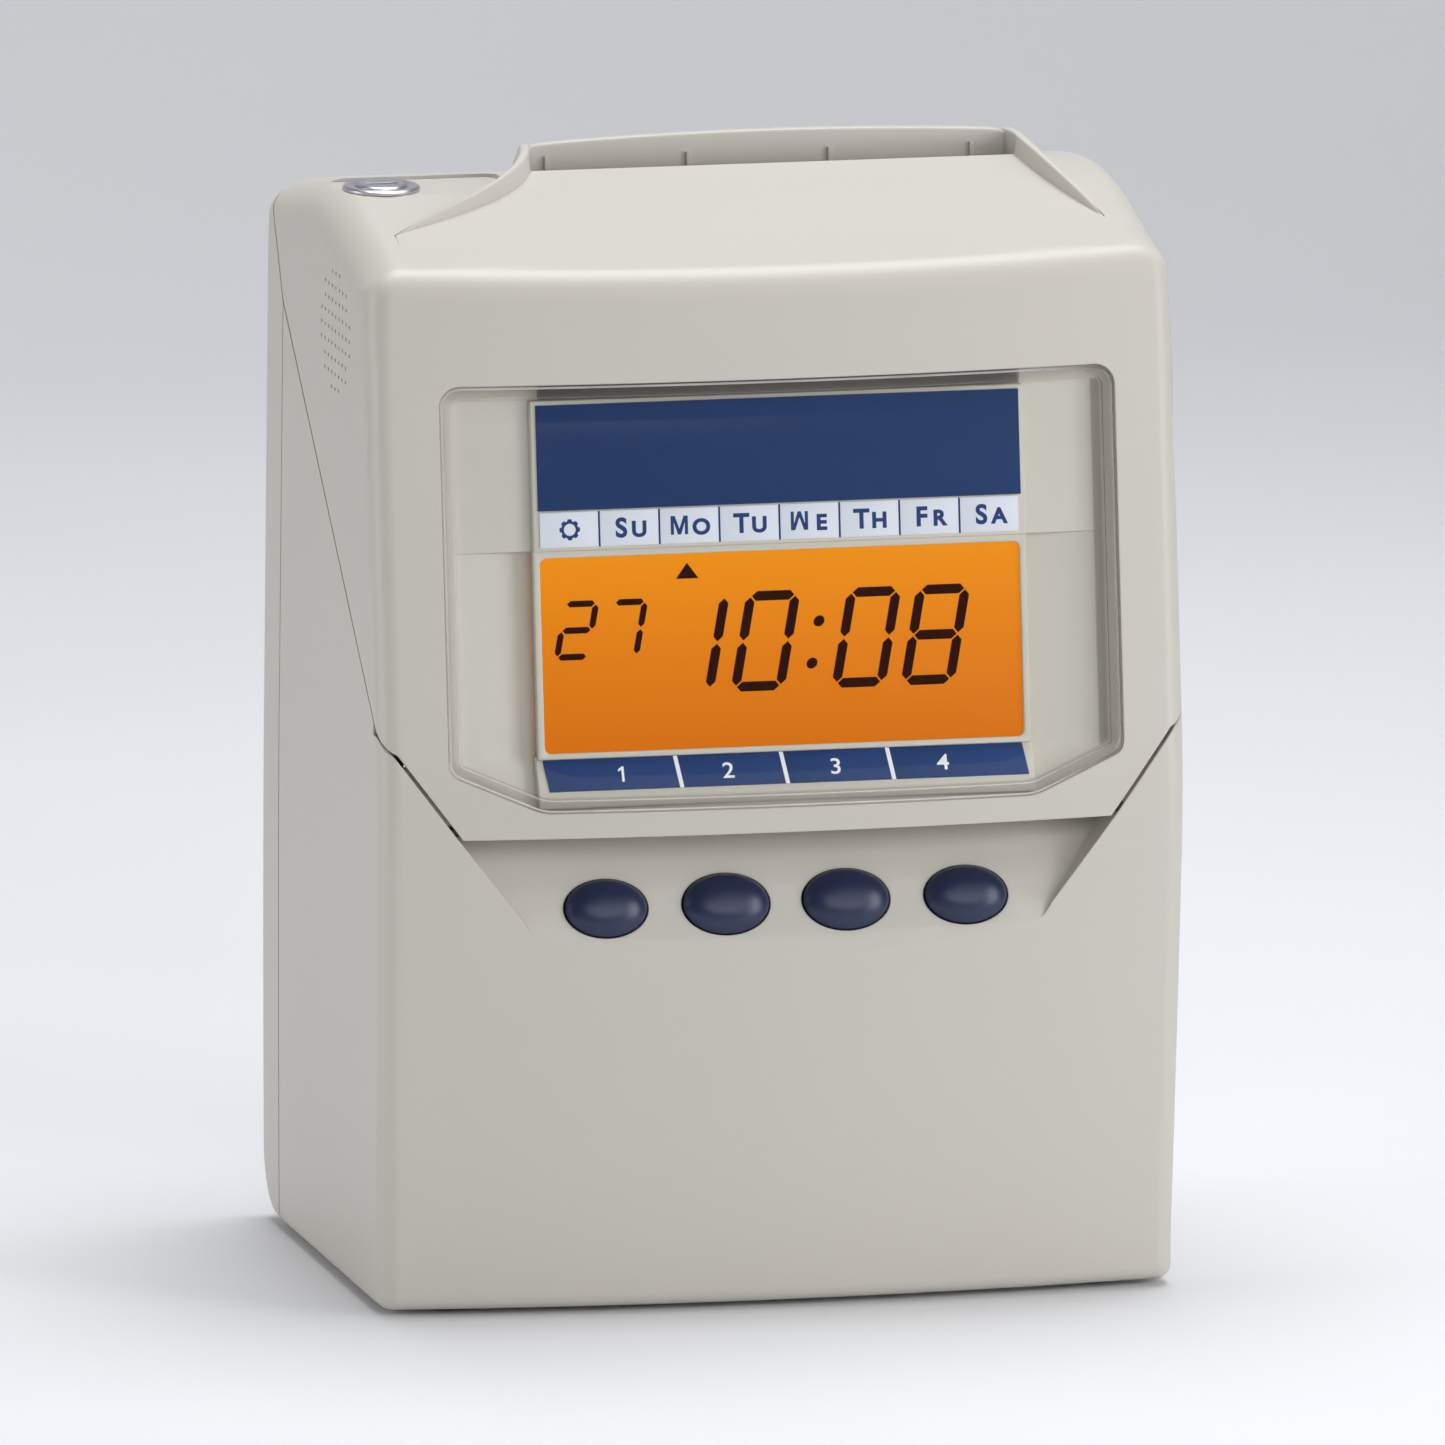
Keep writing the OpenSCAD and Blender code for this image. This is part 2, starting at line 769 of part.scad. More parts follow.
module button(i) {
    r = button_size(i) / 2;
    dome = button_rise - 0.6;
    ball_r = (r * r + dome * dome) / (2 * dome);
    color([0.15, 0.16, 0.33])
    on_panel() translate([button_xs[i], button_s, 0]) {
        intersection() {
            translate([0, 0, -2.6]) linear_extrude(10) oval(r);
            translate([0, 0, button_rise - ball_r]) sphere(r = ball_r);
        }
        // collar that keeps the button from coming out
        translate([0, 0, -3.2]) linear_extrude(0.6) oval(r + 1.4);
        translate([0, 0, -panel_button_depth]) cylinder(h = panel_button_depth - 3.2, r = 2.5);
    }
}

module button_1() { button(0); }
module button_2() { button(1); }
module button_3() { button(2); }
module button_4() { button(3); }

module button_board() {
    color([0.10, 0.35, 0.20])
    on_panel() block(-62, 62, 6, 24, -13.6, -12);
}

module tact_switches() {
    color([0.12, 0.12, 0.13])
    on_panel() for (x = button_xs) translate([x, button_s, 0]) {
        block(-3, 3, -3, 3, -12, -10.6);
        translate([0, 0, -10.6]) cylinder(h = 0.7, r = 1.7);
    }
}

// ---------- chassis and card path ----------

module chassis_frame() {
    color([0.66, 0.68, 0.70])
    difference() {
        union() {
            block(plate_left, plate_right, frame_y, frame_y + plate_t, back_low, back_high);
            for (x = [plate_left, plate_right - plate_t])
                block(x, x + plate_t, tab_y + plate_t, frame_y, plate_low, plate_high);
            // front tabs for the carriage motor and the idler
            for (x = [plate_left, plate_right - 24]) block(x, x + 24, tab_y, tab_y + plate_t, 150, 180);
            // lower ear for the feed motor side
            block(plate_right - plate_t, plate_right, 54, frame_y, plate_low - 8, plate_low);
        }
        rod_x(plate_left - 1, plate_right + 1, feed_y, feed_z, shaft_r + run_gap);
        rod_x(plate_left - 1, plate_right + 1, pinch_y, feed_z, shaft_r + run_gap);
        for (z = rod_zs) rod_x(plate_left - 1, plate_right + 1, rod_y, z, rod_r);
        rod_x(plate_right - 3, plate_right + 1, motor_y, motor_z, 3);
        for (x = pulley_xs) rod_y(x, belt_z, 43, 47, 1.5 + run_gap);
        for (z = [84, 204]) block(card_x - 30, card_x + 30, 105, 109, z, z + 14);
    }
}

module roller_windows(y) {
    for (x = roller_xs) block(x - 6, x + 6, y - 5, y + 5, feed_z - 9, feed_z + 9);
}

module front_card_guide() {
    back = card_y - card_gap / 2;
    color([0.72, 0.74, 0.76])
    difference() {
        union() {
            block(plate_left + plate_t, plate_right - plate_t, back - guide_t, back, guide_low, guide_high);
            // flared mouth
            translate([plate_left + plate_t, back - guide_t, guide_high - 1.2]) rotate([25, 0, 0])
                cube([plate_right - plate_left - 2 * plate_t, guide_t, 8]);
        }
        roller_windows(back);
        block(card_x - 38, card_x + 38, back - 5, back + 5, print_z - 8, print_z + 8);
    }
}

module rear_card_guide() {
    front = card_y + card_gap / 2;
    color([0.72, 0.74, 0.76])
    difference() {
        union() {
            block(plate_left + plate_t, plate_right - plate_t, front, front + guide_t, guide_low, guide_high);
            translate([plate_left + plate_t, front, guide_high - 1.2]) rotate([-25, 0, 0])
                cube([plate_right - plate_left - 2 * plate_t, guide_t, 8]);
            // stop under the card
            block(plate_left + plate_t, plate_right - plate_t, front - card_gap, front + guide_t,
                  guide_low - 1, guide_low);
        }
        roller_windows(front);
        block(card_x - 43, card_x + 43, front - 5, front + 5, print_z - 10, print_z + 10);
    }
}

module platen() {
    color([0.14, 0.14, 0.15]) {
        block(card_x - 42, card_x + 42, card_y + 0.9, 94, print_z - 8, print_z + 8);
        for (x = [card_x - 36, card_x + 36]) block(x - 4, x + 4, 94, frame_y, print_z - 6, print_z + 6);
    }
}

// ---------- card feed ----------

gear_x = plate_right + 2;
gear_w = 5;
groove_x = plate_left - 2;

// straight-sided teeth, narrow enough to leave a little play
module gear_shape(teeth, phase) {
    r = teeth * gear_mod / 2;
    step = 360 / teeth;
    root = r - 1.2 * gear_mod;
    tip = r + 0.85 * gear_mod;
    polygon([for (i = [0 : teeth - 1]) for (p = [[-0.34, root], [-0.13, tip], [0.13, tip], [0.34, root]])
        let (a = phase + (i + p[0]) * step) p[1] * [cos(a), sin(a)]]);
}

// gear in the side plane: phase is measured from +y towards +z
module side_gear(x, y, z, teeth, phase, bore) {
    translate([x, y, z]) rotate([90, 0, 90]) linear_extrude(gear_w) difference() {
        gear_shape(teeth, phase);
        circle(r = bore);
    }
}

module shaft(y) {
    color([0.75, 0.76, 0.78])
    difference() {
        rod_x(plate_left - 3, gear_x + gear_w, y, feed_z, shaft_r);
        // groove for the retaining ring
        difference() {
            rod_x(groove_x, groove_x + 0.6, y, feed_z, shaft_r + 1);
            rod_x(groove_x - 1, groove_x + 2, y, feed_z, shaft_r - 0.4);
        }
    }
}

module feed_shaft() { shaft(feed_y); }

module pinch_shaft() {
    color([0.75, 0.76, 0.78])
    rod_x(plate_left - 3, plate_right + 1.5, pinch_y, feed_z, shaft_r);
}

module roller_pair(y, r) {
    for (x = roller_xs) difference() {
        rod_x(x - roller_w / 2, x + roller_w / 2, y, feed_z, r);
        rod_x(-100, 100, y, feed_z, shaft_r);
    }
}

module feed_rollers() { color([0.10, 0.10, 0.11]) roller_pair(feed_y, feed_r); }
module pinch_rollers() { color([0.32, 0.33, 0.35]) roller_pair(pinch_y, pinch_r); }

module feed_gear() {
    color([0.90, 0.89, 0.84])
    side_gear(gear_x, feed_y, feed_z, gear_teeth, 180 + motor_drop, shaft_r);
}

module feed_motor() {
    face = plate_right - plate_t;
    color([0.62, 0.63, 0.65])
    difference() {
        union() {
            rod_x(face - 18, face, motor_y, motor_z, 10);
            for (z = [motor_z - 12, motor_z + 12])
                block(face - 1, face, motor_y - 3, motor_y + 3, z - 3, z + 3);
        }
        rod_x(face - 12, face + 1, motor_y, motor_z, 1 + run_gap);
        for (side = [-1, 1]) rod_x(face - 3, face + 1, motor_y, motor_z + side * 13, 1.2);
    }
}

module motor_pinion() {
    color([0.85, 0.72, 0.38]) {
        rod_x(plate_right - plate_t - 10, gear_x, motor_y, motor_z, 1);
        side_gear(gear_x, motor_y, motor_z, pinion_teeth, motor_drop + 180 / pinion_teeth, 0.01);
    }
}

// ---------- print carriage ----------

module guide_rods() {
    color([0.80, 0.81, 0.83])
    for (z = rod_zs) rod_x(plate_left - 1.5, plate_right + 1.5, rod_y, z, rod_r);
}

module carriage() {
    color([0.13, 0.13, 0.14])
    difference() {
        union() {
            block(card_x - 13, card_x + 13, 54, 66, 144, 186);
            block(card_x - 6, card_x + 6, 45.7, 54, 155, 161.5);
        }
        for (z = rod_zs) rod_x(-100, 100, rod_y, z, rod_r + run_gap);
        block(card_x - 8, card_x + 8, 46.3, 51.7, belt_z - pulley_r - 1.1, belt_z - pulley_r + 0.1);
        block(card_x - 8, card_x + 8, 53, 70, 156, 174);
    }
    color([0.13, 0.13, 0.14]) block(card_x - 7, card_x + 7, 53.9, 66, 156, 162);
}

module print_head() {
    color([0.30, 0.31, 0.33]) {
        block(card_x - 9, card_x + 9, 66, 77, 150, 180);
        block(card_x - 3, card_x + 3, 77, 81, print_z - 6, print_z + 6);
        for (i = [0 : 3]) block(card_x - 11, card_x + 11, 68, 76, 152 + i * 8, 153.5 + i * 8);
    }
}

module carriage_motor() {
    color([0.60, 0.61, 0.63])
    difference() {
        union() {
            rod_y(pulley_xs[0], belt_z, 31, 44, 10);
            for (side = [-1, 1]) rod_y(pulley_xs[0] + side * 8, belt_z + side * 8, 43, 44, 3);
        }
        rod_y(pulley_xs[0], belt_z, 36, 45, 1.5 + run_gap);
    }
}

module pulley(x, shaft_from) {
    rod_y(x, belt_z, shaft_from, 46, 1.5);
    rod_y(x, belt_z, 46, 52, pulley_r - 0.03);
    rod_y(x, belt_z, 46, 46.4, pulley_r + 2.5);
    rod_y(x, belt_z, 51.6, 52, pulley_r + 2.5);
}

module drive_pulley() { color([0.80, 0.80, 0.78]) pulley(pulley_xs[0], 38); }
module idler_pulley() { color([0.80, 0.80, 0.78]) pulley(pulley_xs[1], 43.5); }

module belt_loop(r) {
    for (x = pulley_xs) translate([x, belt_z]) circle(r = r);
    translate([pulley_xs[0], belt_z - r]) square([pulley_xs[1] - pulley_xs[0], 2 * r]);
}

module timing_belt() {
    color([0.08, 0.08, 0.09])
    along(46.5, 51.5) difference() {
        belt_loop(pulley_r + 1);
        belt_loop(pulley_r);
    }
}

// ---------- ribbon ----------

knob_x = card_x - 20;

module ribbon_cassette() {
    color([0.16, 0.17, 0.18])
    difference() {
        union() {
            block(plate_left + plate_t, plate_right - plate_t, 46, 79, 192, 206);
            for (side = [-1, 1]) block(card_x + side * 37 - 3, card_x + side * 37 + 3, 74, 82, 157, 192);
        }
        translate([knob_x, rod_y, 194]) cylinder(h = 20, r = 2 + run_gap);
        // finger grips in the lid
        for (side = [-1, 1]) block(card_x + side * 40 - 4, card_x + side * 40 + 4, 52, 72, 204.5, 207);
    }
}

module ink_ribbon() {
    color([0.10, 0.06, 0.14])
    block(card_x - 34, card_x + 34, 81.4, 81.6, print_z - 6.5, print_z + 6.5);
}

module ribbon_knob() {
    color([0.25, 0.40, 0.62])
    difference() {
        union() {
            translate([knob_x, rod_y, 196]) cylinder(h = 12, r = 2);
            translate([knob_x, rod_y, 206.3]) cylinder(h = 7, r = 9);
        }
        // finger flutes around the rim
        for (i = [0 : 11])
            translate([knob_x, rod_y, 205]) rotate([0, 0, i * 30])
                translate([9.3, 0, 0]) cylinder(h = 12, r = 1.2);
    }
}

// ---------- electronics and fixings ----------

module main_board() {
    color([0.10, 0.36, 0.20])
    block(-91.6, -90, 48, 106, 44, 150);
}

module board_parts() {
    color([0.13, 0.13, 0.14]) {
        for (i = [0 : 2]) block(-90, -88.2, 56 + i * 16, 66 + i * 16, 90, 104);
        block(-90, -87, 60, 84, 60, 78);
    }
    color([0.88, 0.87, 0.80]) for (i = [0 : 3]) block(-90, -82, 52 + i * 13, 62 + i * 13, 138, 145);
    color([0.12, 0.18, 0.40]) for (i = [0 : 2]) rod_x(-90, -76, 96, 54 + i * 14, 5);
    color([0.75, 0.75, 0.77]) rod_x(-90, -86.5, 92, 118, 4.5);
}

module backup_battery() {
    color([0.25, 0.55, 0.35])
    for (i = [0 : 2]) rod_y(-80 + i * 15, 10.2, 52, 100, 7.4);
}

module transformer() {
    color([0.42, 0.40, 0.38])
    difference() {
        block(-6, 44, 64, 96, wall, 44);
        for (side = [-1, 1]) block(19 + side * 13 - 5, 19 + side * 13 + 5, 60, 100, 12, 36);
    }
    color([0.80, 0.62, 0.25]) difference() {
        block(1.2, 36.8, 58, 102, 12.2, 35.8);
        block(11, 27, 64, 96, 10, 40);
        block(-10, 1, 50, 110, 0, 50);
    }
}

module power_inlet() {
    color([0.09, 0.09, 0.10])
    difference() {
        block(inlet_x - 11.9, inlet_x + 11.9, 112, case_d, inlet_z - 7.9, inlet_z + 7.9);
        block(inlet_x - 9, inlet_x + 9, 118, case_d + 1, inlet_z - 5, inlet_z + 5);
    }
    color([0.8, 0.8, 0.8]) for (side = [-1, 1]) rod_y(inlet_x + side * 4, inlet_z, 118, case_d - 4, 1.2);
}

module rubber_feet() {
    color([0.10, 0.10, 0.10])
    for (x = [-80, 80]) for (y = [22, 98]) translate([x, y, -foot_h]) cylinder(h = foot_h, r = 7);
}

module case_screws() {
    color([0.70, 0.70, 0.72])
    difference() {
        screw_spots() {
            rod_y(0, 0, 101, case_d - 8, screw_r);
            rod_y(0, 0, case_d - 8, case_d - 5.6, 3.2);
        }
        // cross recess in each head
        screw_spots() {
            block(-2, 2, case_d - 6.6, case_d, -0.4, 0.4);
            block(-0.4, 0.4, case_d - 6.6, case_d, -2, 2);
        }
    }
}

// ---------- everything in its place ----------

translate([0, -case_d / 2, foot_h]) {
    rear_housing();
    lower_housing();
    upper_cover();
    window_lens();
    display_bezel();
    header_plate();
    day_strip();
    lcd_glass();
    lcd_segments();
    backlight();
    display_board();
    number_strip();
    hinge_pins();
    lock_barrel();
    lock_plug();
    lock_cam();
    speaker();
    button_1();
    button_2();
    button_3();
    button_4();
    button_board();
    tact_switches();
    chassis_frame();
    front_card_guide();
    rear_card_guide();
    platen();
    feed_shaft();
    feed_rollers();
    feed_gear();
    pinch_shaft();
    pinch_rollers();
    feed_motor();
    motor_pinion();
    guide_rods();
    carriage();
    print_head();
    carriage_motor();
    drive_pulley();
    idler_pulley();
    timing_belt();
    ribbon_cassette();
    ink_ribbon();
    ribbon_knob();
    main_board();
    board_parts();
    backup_battery();
    transformer();
    power_inlet();
    rubber_feet();
    case_screws();
}
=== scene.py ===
"""The looks of the punch time clock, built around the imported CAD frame.

Lengths inside this script are millimetres in case coordinates, as in the CAD source:
x to the right, y back from the nose of the front, z up from the case underside.
"""

from math import atan, copysign, cos, dist, hypot, pi, radians, sin, tan

import bmesh
import bpy
import numpy as np
from mathutils import Matrix, Vector


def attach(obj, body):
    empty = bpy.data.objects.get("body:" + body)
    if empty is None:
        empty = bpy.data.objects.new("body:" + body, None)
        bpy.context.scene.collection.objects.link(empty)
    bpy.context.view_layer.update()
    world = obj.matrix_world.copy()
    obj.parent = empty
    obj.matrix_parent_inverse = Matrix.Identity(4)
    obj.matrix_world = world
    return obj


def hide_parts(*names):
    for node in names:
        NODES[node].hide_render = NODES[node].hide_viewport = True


# ---------- sizes shared with the CAD ----------

CASE_D = 132.0
FOOT_H = 1.5
HALF_W = 99.0
NOSE_Z = 122.0
FRONT_H = 247.0
LEAN = atan(20.0 / (FRONT_H - NOSE_Z))
FOOT_LEAN = atan(2.5 / NOSE_Z)
BOW = 6.8 / HALF_W**2
ROOF_SLOPE = radians(13.6)
REAR_SLOPE = radians(11.5)
ROOF_LOW = FRONT_H - tan(ROOF_SLOPE) * 21
ROOF_REAR = 279.0
ROOF_BEND = 8.3
# radii where the faces of the case meet: front to roof, front to underside, roof to back, back to underside
BROW_R = 5.0
TOE_R = 3.5
ROOF_REAR_R = 8.0
HEEL_R = 16.0
NOSE_BEND = 3.0
# edge radii of the side walls against the front, roof, back and underside
SIDE_RADII = (5.0, 10.0, 4.0, 3.0)
SIDE_R_BLEND = 2.5
SIDE_TAPER = 1.2
WALL = 2.5
GAP = 0.6

SEAM_LOW = (9.5, 135.5)
REAR_SEAM_Y = 113.0
REAR_SEAM_TOP = (127.0, 252.0)
SKIRT_LOW = 115.0
SKIRT_X = 80.7
SKIRT_SLANT = radians(53)
SKIRT_GAP = 1.1
SEAM_HIGH = (REAR_SEAM_Y, 226.1)
SEAM_SLOPE = (SEAM_HIGH[1] - SEAM_LOW[1]) / (SEAM_HIGH[0] - SEAM_LOW[0])

PANEL_TILT = radians(66)
PANEL_ROOT = (0.7, 85.0)
SCOOP_TILT = radians(46)
SCOOP_ROOT = (10.0, 106.0)
RECESS_BACK_Y = 22.0
RECESS_SIDE = ((80.9, 115.3), (65.0, 95.0), (56.0, 80.0))
BUTTON_S = 13.1
BUTTON_PITCH = 29.5
BUTTON_RATIO = 0.7
BUTTON_RISE = 4.0

WINDOW_HALF = 83.0
WINDOW_LOW = 121.0
WINDOW_HIGH = 222.0

CARD_X = 12.0
THROAT_LEFT = CARD_X - 56.0
THROAT_RIGHT = CARD_X + 56.0
LIP_Y = 82.0
THROAT_BACK_Y = 88.0
FIN_ROOT_RIGHT = THROAT_RIGHT + 4

LOCK_X = -83.0
LOCK_Y = 80.0
LOCK_Z = 258.9
BARREL_R = 7.8

SPEAKER_Y = 59.0
SPEAKER_Z = 229.0
PATCH_R = 15.5
PIT_PITCH = 3.5

HINGE_Y = 7.0
HINGE_Z = 116.8
PIN_R = 1.2
PIN_NEAR_X = 73.0
PIN_FAR_X = 87.2

# how far cutting shapes start outside the case, and how far they reach to pass through all of it
MARGIN = 40.0
FAR = 400.0
# the distance in metres at which points count as one
WELD = 1e-7
# radius of a revolved shape where it closes on its axis
POINT = 0.0005


# ---------- mesh helpers ----------

def row(p):
    """Case coordinates in millimetres to the row frame in metres."""
    return Vector((p[0] / 1000, (p[1] - CASE_D / 2) / 1000, (p[2] + FOOT_H) / 1000))


def linked(name, data):
    obj = bpy.data.objects.new(name, data)
    bpy.context.scene.collection.objects.link(obj)
    return obj


def new_object(name, verts, faces):
    mesh = bpy.data.meshes.new(name)
    mesh.from_pydata([row(v) for v in verts], [], faces)
    mesh.update()
    return linked(name, mesh)


def face_out(obj, weld=False):
    """Turns all faces outward, after joining points that coincide where that is asked for."""
    bm = bmesh.new()
    bm.from_mesh(obj.data)
    if weld:
        bmesh.ops.remove_doubles(bm, verts=bm.verts, dist=WELD)
    bmesh.ops.recalc_face_normals(bm, faces=bm.faces)
    bm.to_mesh(obj.data)
    bm.free()
    return obj


def band_faces(rows, size, loop=False):
    """Quads between neighbouring rings of points, and from the last ring back to the first in a loop."""
    faces = []
    for j in range(rows if loop else rows - 1):
        low, high = j * size, (j + 1) % rows * size
        faces += [(low + i, low + (i + 1) % size, high + (i + 1) % size, high + i) for i in range(size)]
    return faces


def stacked(name, rings, loop=False, weld=False):
    """A closed solid through a run of rings: capped at its ends, or closed on itself as a loop."""
    size, total = len(rings[0]), len(rings) * len(rings[0])
    caps = [] if loop else [tuple(range(size)), tuple(range(total - size, total))]
    faces = caps + band_faces(len(rings), size, loop)
    return face_out(new_object(name, [point for ring in rings for point in ring], faces), weld)


def prism(name, outline, axis, low, high):
    """A closed slab: outline lies in the two other axes, in the order x, y, z."""
    at = "xyz".index(axis)
    return stacked(name, [[(*p[:at], level, *p[at:]) for p in outline] for level in (low, high)])


def local_slab(name, outline, low, high, matrix):
    """A slab drawn flat in a local frame, then carried into the case by matrix."""
    return stacked(name, [[matrix @ Vector((x, y, level)) for x, y in outline] for level in (low, high)])


def cross_slab(name, outline, x0, x1, matrix):
    """A slab across the local x, from an outline in the local y and z."""
    return stacked(name, [[matrix @ Vector((x, y, z)) for y, z in outline] for x in (x0, x1)])


def revolve(name, profile, matrix, steps=64, ratio=1.0, loop=False):
    """Turns (radius, height) points about the local z axis, with the local y squeezed by ratio."""
    turns = [2 * pi * i / steps for i in range(steps)]
    rings = [[matrix @ Vector((r * cos(a), r * ratio * sin(a), h)) for a in turns] for r, h in profile]
    return stacked(name, rings, loop, weld=True)


def rectangle(x0, x1, y0, y1):
    return [(x0, y0), (x1, y0), (x1, y1), (x0, y1)]


def rounded_rectangle(x0, x1, y0, y1, r):
    return (arc(x1 - r, y1 - r, r, 0, 90, 6) + arc(x0 + r, y1 - r, r, 90, 180, 6)
            + arc(x0 + r, y0 + r, r, 180, 270, 6) + arc(x1 - r, y0 + r, r, 270, 360, 6))


def box(name, x0, x1, y0, y1, z0, z1):
    return prism(name, rectangle(x0, x1, y0, y1), "z", z0, z1)


def bake_modifiers(obj):
    """Replaces the mesh by what its modifiers make of it."""
    graph = bpy.context.evaluated_depsgraph_get()
    mesh = bpy.data.meshes.new_from_object(obj.evaluated_get(graph), depsgraph=graph)
    obj.modifiers.clear()
    obj.data = mesh
    return obj


def combine(obj, other, operation, keep=False):
    mod = obj.modifiers.new("combine", "BOOLEAN")
    mod.operation = operation
    mod.solver = "MANIFOLD"
    mod.object = other
    bake_modifiers(obj)
    if not keep:
        bpy.data.objects.remove(other)
    return obj


def add(obj, other):
    return combine(obj, other, "UNION")


def cut(obj, tool, keep=False):
    return combine(obj, tool, "DIFFERENCE", keep)


def trim(obj, zone, keep=False):
    return combine(obj, zone, "INTERSECT", keep)


def joined(name, objs):
    bm = bmesh.new()
    for o in objs:
        bm.from_mesh(o.data)
        bpy.data.objects.remove(o)
    mesh = bpy.data.meshes.new(name)
    bm.to_mesh(mesh)
    bm.free()
    return linked(name, mesh)


def soften(obj, width, segments, angle):
    """Rounds the edges that are sharper than angle."""
    mod = obj.modifiers.new("bevel", "BEVEL")
    mod.width = width / 1000
    mod.segments = segments
    mod.limit_method = "ANGLE"
    mod.angle_limit = radians(angle)


def bevel(obj, width, segments=3, angle=35):
    soften(obj, width, segments, angle)
    return bake_modifiers(obj)


def smooth(obj, angle=32):
    obj.data.shade_smooth()
    obj.data.set_sharp_from_angle(angle=radians(angle))
    return obj


def arc(cx, cy, r, start, end, steps):
    angles = [radians(start + (end - start) * i / steps) for i in range(steps + 1)]
    return [(cx + r * cos(a), cy + r * sin(a)) for a in angles]


def front_matrix():
    """Local x, up the slope, out of the face, for parts that lie on the leaning front."""
    turn = Matrix.Rotation(pi / 2 - LEAN, 4, "X")
    return moved(0, 0, NOSE_Z) @ turn @ moved(0, -NOSE_Z, 0)


def panel_matrix():
    return moved(0, *PANEL_ROOT) @ Matrix.Rotation(PANEL_TILT, 4, "X")


def moved(x, y, z):
    return Matrix.Translation((x, y, z))


def turned(x, y, z, angle, axis):
    """A local frame at a point of the case, turned by a number of degrees."""
    return moved(x, y, z) @ Matrix.Rotation(radians(angle), 4, axis)


# ---------- the case skin ----------

# width of the finely gridded edges of the box that becomes the skin, and its heights
EDGE_BAND = 20.0
GRID_TOP = 262.0
CORE_TOP = 224.0
HALVINGS = 34


def round_corner(a, b, r):
    """Distance to the corner where two faces meet, rounded to radius r."""
    both = np.sqrt(np.maximum(a + r, 0) ** 2 + np.maximum(b + r, 0) ** 2) - r
    return np.where((a > -r) & (b > -r), both, np.maximum(a, b))


def soft_max(a, b, width):
    h = np.maximum(width - np.abs(a - b), 0) / width
    return np.maximum(a, b) + h * h * width / 4


def ramp_z(y):
    return ROOF_LOW + tan(ROOF_SLOPE) * y


def roof_height(y):
    """Straight front slope, then a wide arc, then the rear slope."""
    return -soft_max(-ramp_z(y), tan(REAR_SLOPE) * y - ROOF_REAR, ROOF_BEND)


def case_distance(p):
    """How far points lie outside the case, in millimetres, with every edge rounded."""
    x, y, z = p[:, 0], p[:, 1], p[:, 2]
    ahead = BOW * x * x - y
    upper = (ahead + tan(LEAN) * (z - NOSE_Z)) * cos(LEAN)
    lower = (ahead + tan(FOOT_LEAN) * (NOSE_Z - z)) * cos(FOOT_LEAN)
    front = soft_max(upper, lower, NOSE_BEND)
    roof = (z - roof_height(y)) * cos(ROOF_SLOPE)
    back = y - CASE_D
    under = -z
    ahead = round_corner(round_corner(front, roof, BROW_R), under, TOE_R)
    behind = round_corner(round_corner(back, roof, ROOF_REAR_R), under, HEEL_R)
    # the radius of the side edges runs smoothly from one face's to the next
    faces = np.stack([front, roof, back, under])
    share = np.exp((faces - faces.max(0)) / SIDE_R_BLEND)
    edge_r = (share * np.array(SIDE_RADII)[:, None]).sum(0) / share.sum(0)
    taper = SIDE_TAPER * np.clip((NOSE_Z - z) / NOSE_Z, 0, 1) ** 1.5
    side = np.abs(x) - HALF_W + taper
    return round_corner(np.maximum(ahead, behind), side, edge_r)


def edge_steps(low, high, interior):
    """Grid lines from low to high, dense by both ends."""
    offsets = [0, 0.8, 1.6, 2.5, 3.4, 4.4, 5.4, 6.5, 7.6, 8.8, 10, 11.3, 12.6, 14, 15.5, 17, 18.5, EDGE_BAND]
    inner = np.linspace(low + EDGE_BAND, high - EDGE_BAND, interior + 1)[1:-1]
    return np.array([low + o for o in offsets] + list(inner) + [high - o for o in reversed(offsets)])


def box_grid(lines):
    """Points and quads of the six faces of a box, cut along the given grid lines."""
    index, points, faces = {}, [], []
    def vertex(ijk):
        if ijk not in index:
            index[ijk] = len(points)
            points.append(tuple(line[i] for line, i in zip(lines, ijk)))
        return index[ijk]
    for a, b, c in ((0, 1, 2), (1, 2, 0), (2, 0, 1)):
        for end in (0, len(lines[c]) - 1):
            for i in range(len(lines[a]) - 1):
                for j in range(len(lines[b]) - 1):
                    face = []
                    ring = [(i, j), (i + 1, j), (i + 1, j + 1), (i, j + 1)]
                    for u, v in ring if end else reversed(ring):
                        ijk = [0, 0, 0]
                        ijk[a], ijk[b], ijk[c] = u, v, end
                        face.append(vertex(tuple(ijk)))
                    faces.append(face)
    return points, faces


def case_skin(name, inset):
    """A closed skin: box grid points pushed along rays until they meet the rounded case."""
    points, faces = box_grid((edge_steps(-HALF_W, HALF_W, 24), edge_steps(0, CASE_D, 16),
                              edge_steps(0, GRID_TOP, 44)))
    q = np.array(points)
    low = np.array([EDGE_BAND - HALF_W, 2 * EDGE_BAND, EDGE_BAND])
    high = np.array([HALF_W - EDGE_BAND, CASE_D - EDGE_BAND, CORE_TOP])
    core = np.clip(q, low, high)
    near, far = np.zeros(len(q)), np.full(len(q), 1.8)
    for _ in range(HALVINGS):
        mid = (near + far) / 2
        outside = case_distance(core + mid[:, None] * (q - core)) + inset > 0
        far = np.where(outside, mid, far)
        near = np.where(outside, near, mid)
    skin = core + near[:, None] * (q - core)
    return face_out(new_object(name, skin.tolist(), faces))


# ---------- where the shells part ----------

def seam_z(y):
    return SEAM_LOW[1] + SEAM_SLOPE * (y - SEAM_LOW[0])


def rear_zone():
    top_y = REAR_SEAM_TOP[0]
    outline = [(REAR_SEAM_Y, -MARGIN), (FAR, -MARGIN), (FAR, FAR), (top_y, FAR), REAR_SEAM_TOP, SEAM_HIGH]
    return prism("rear_zone", outline, "x", -FAR, FAR)


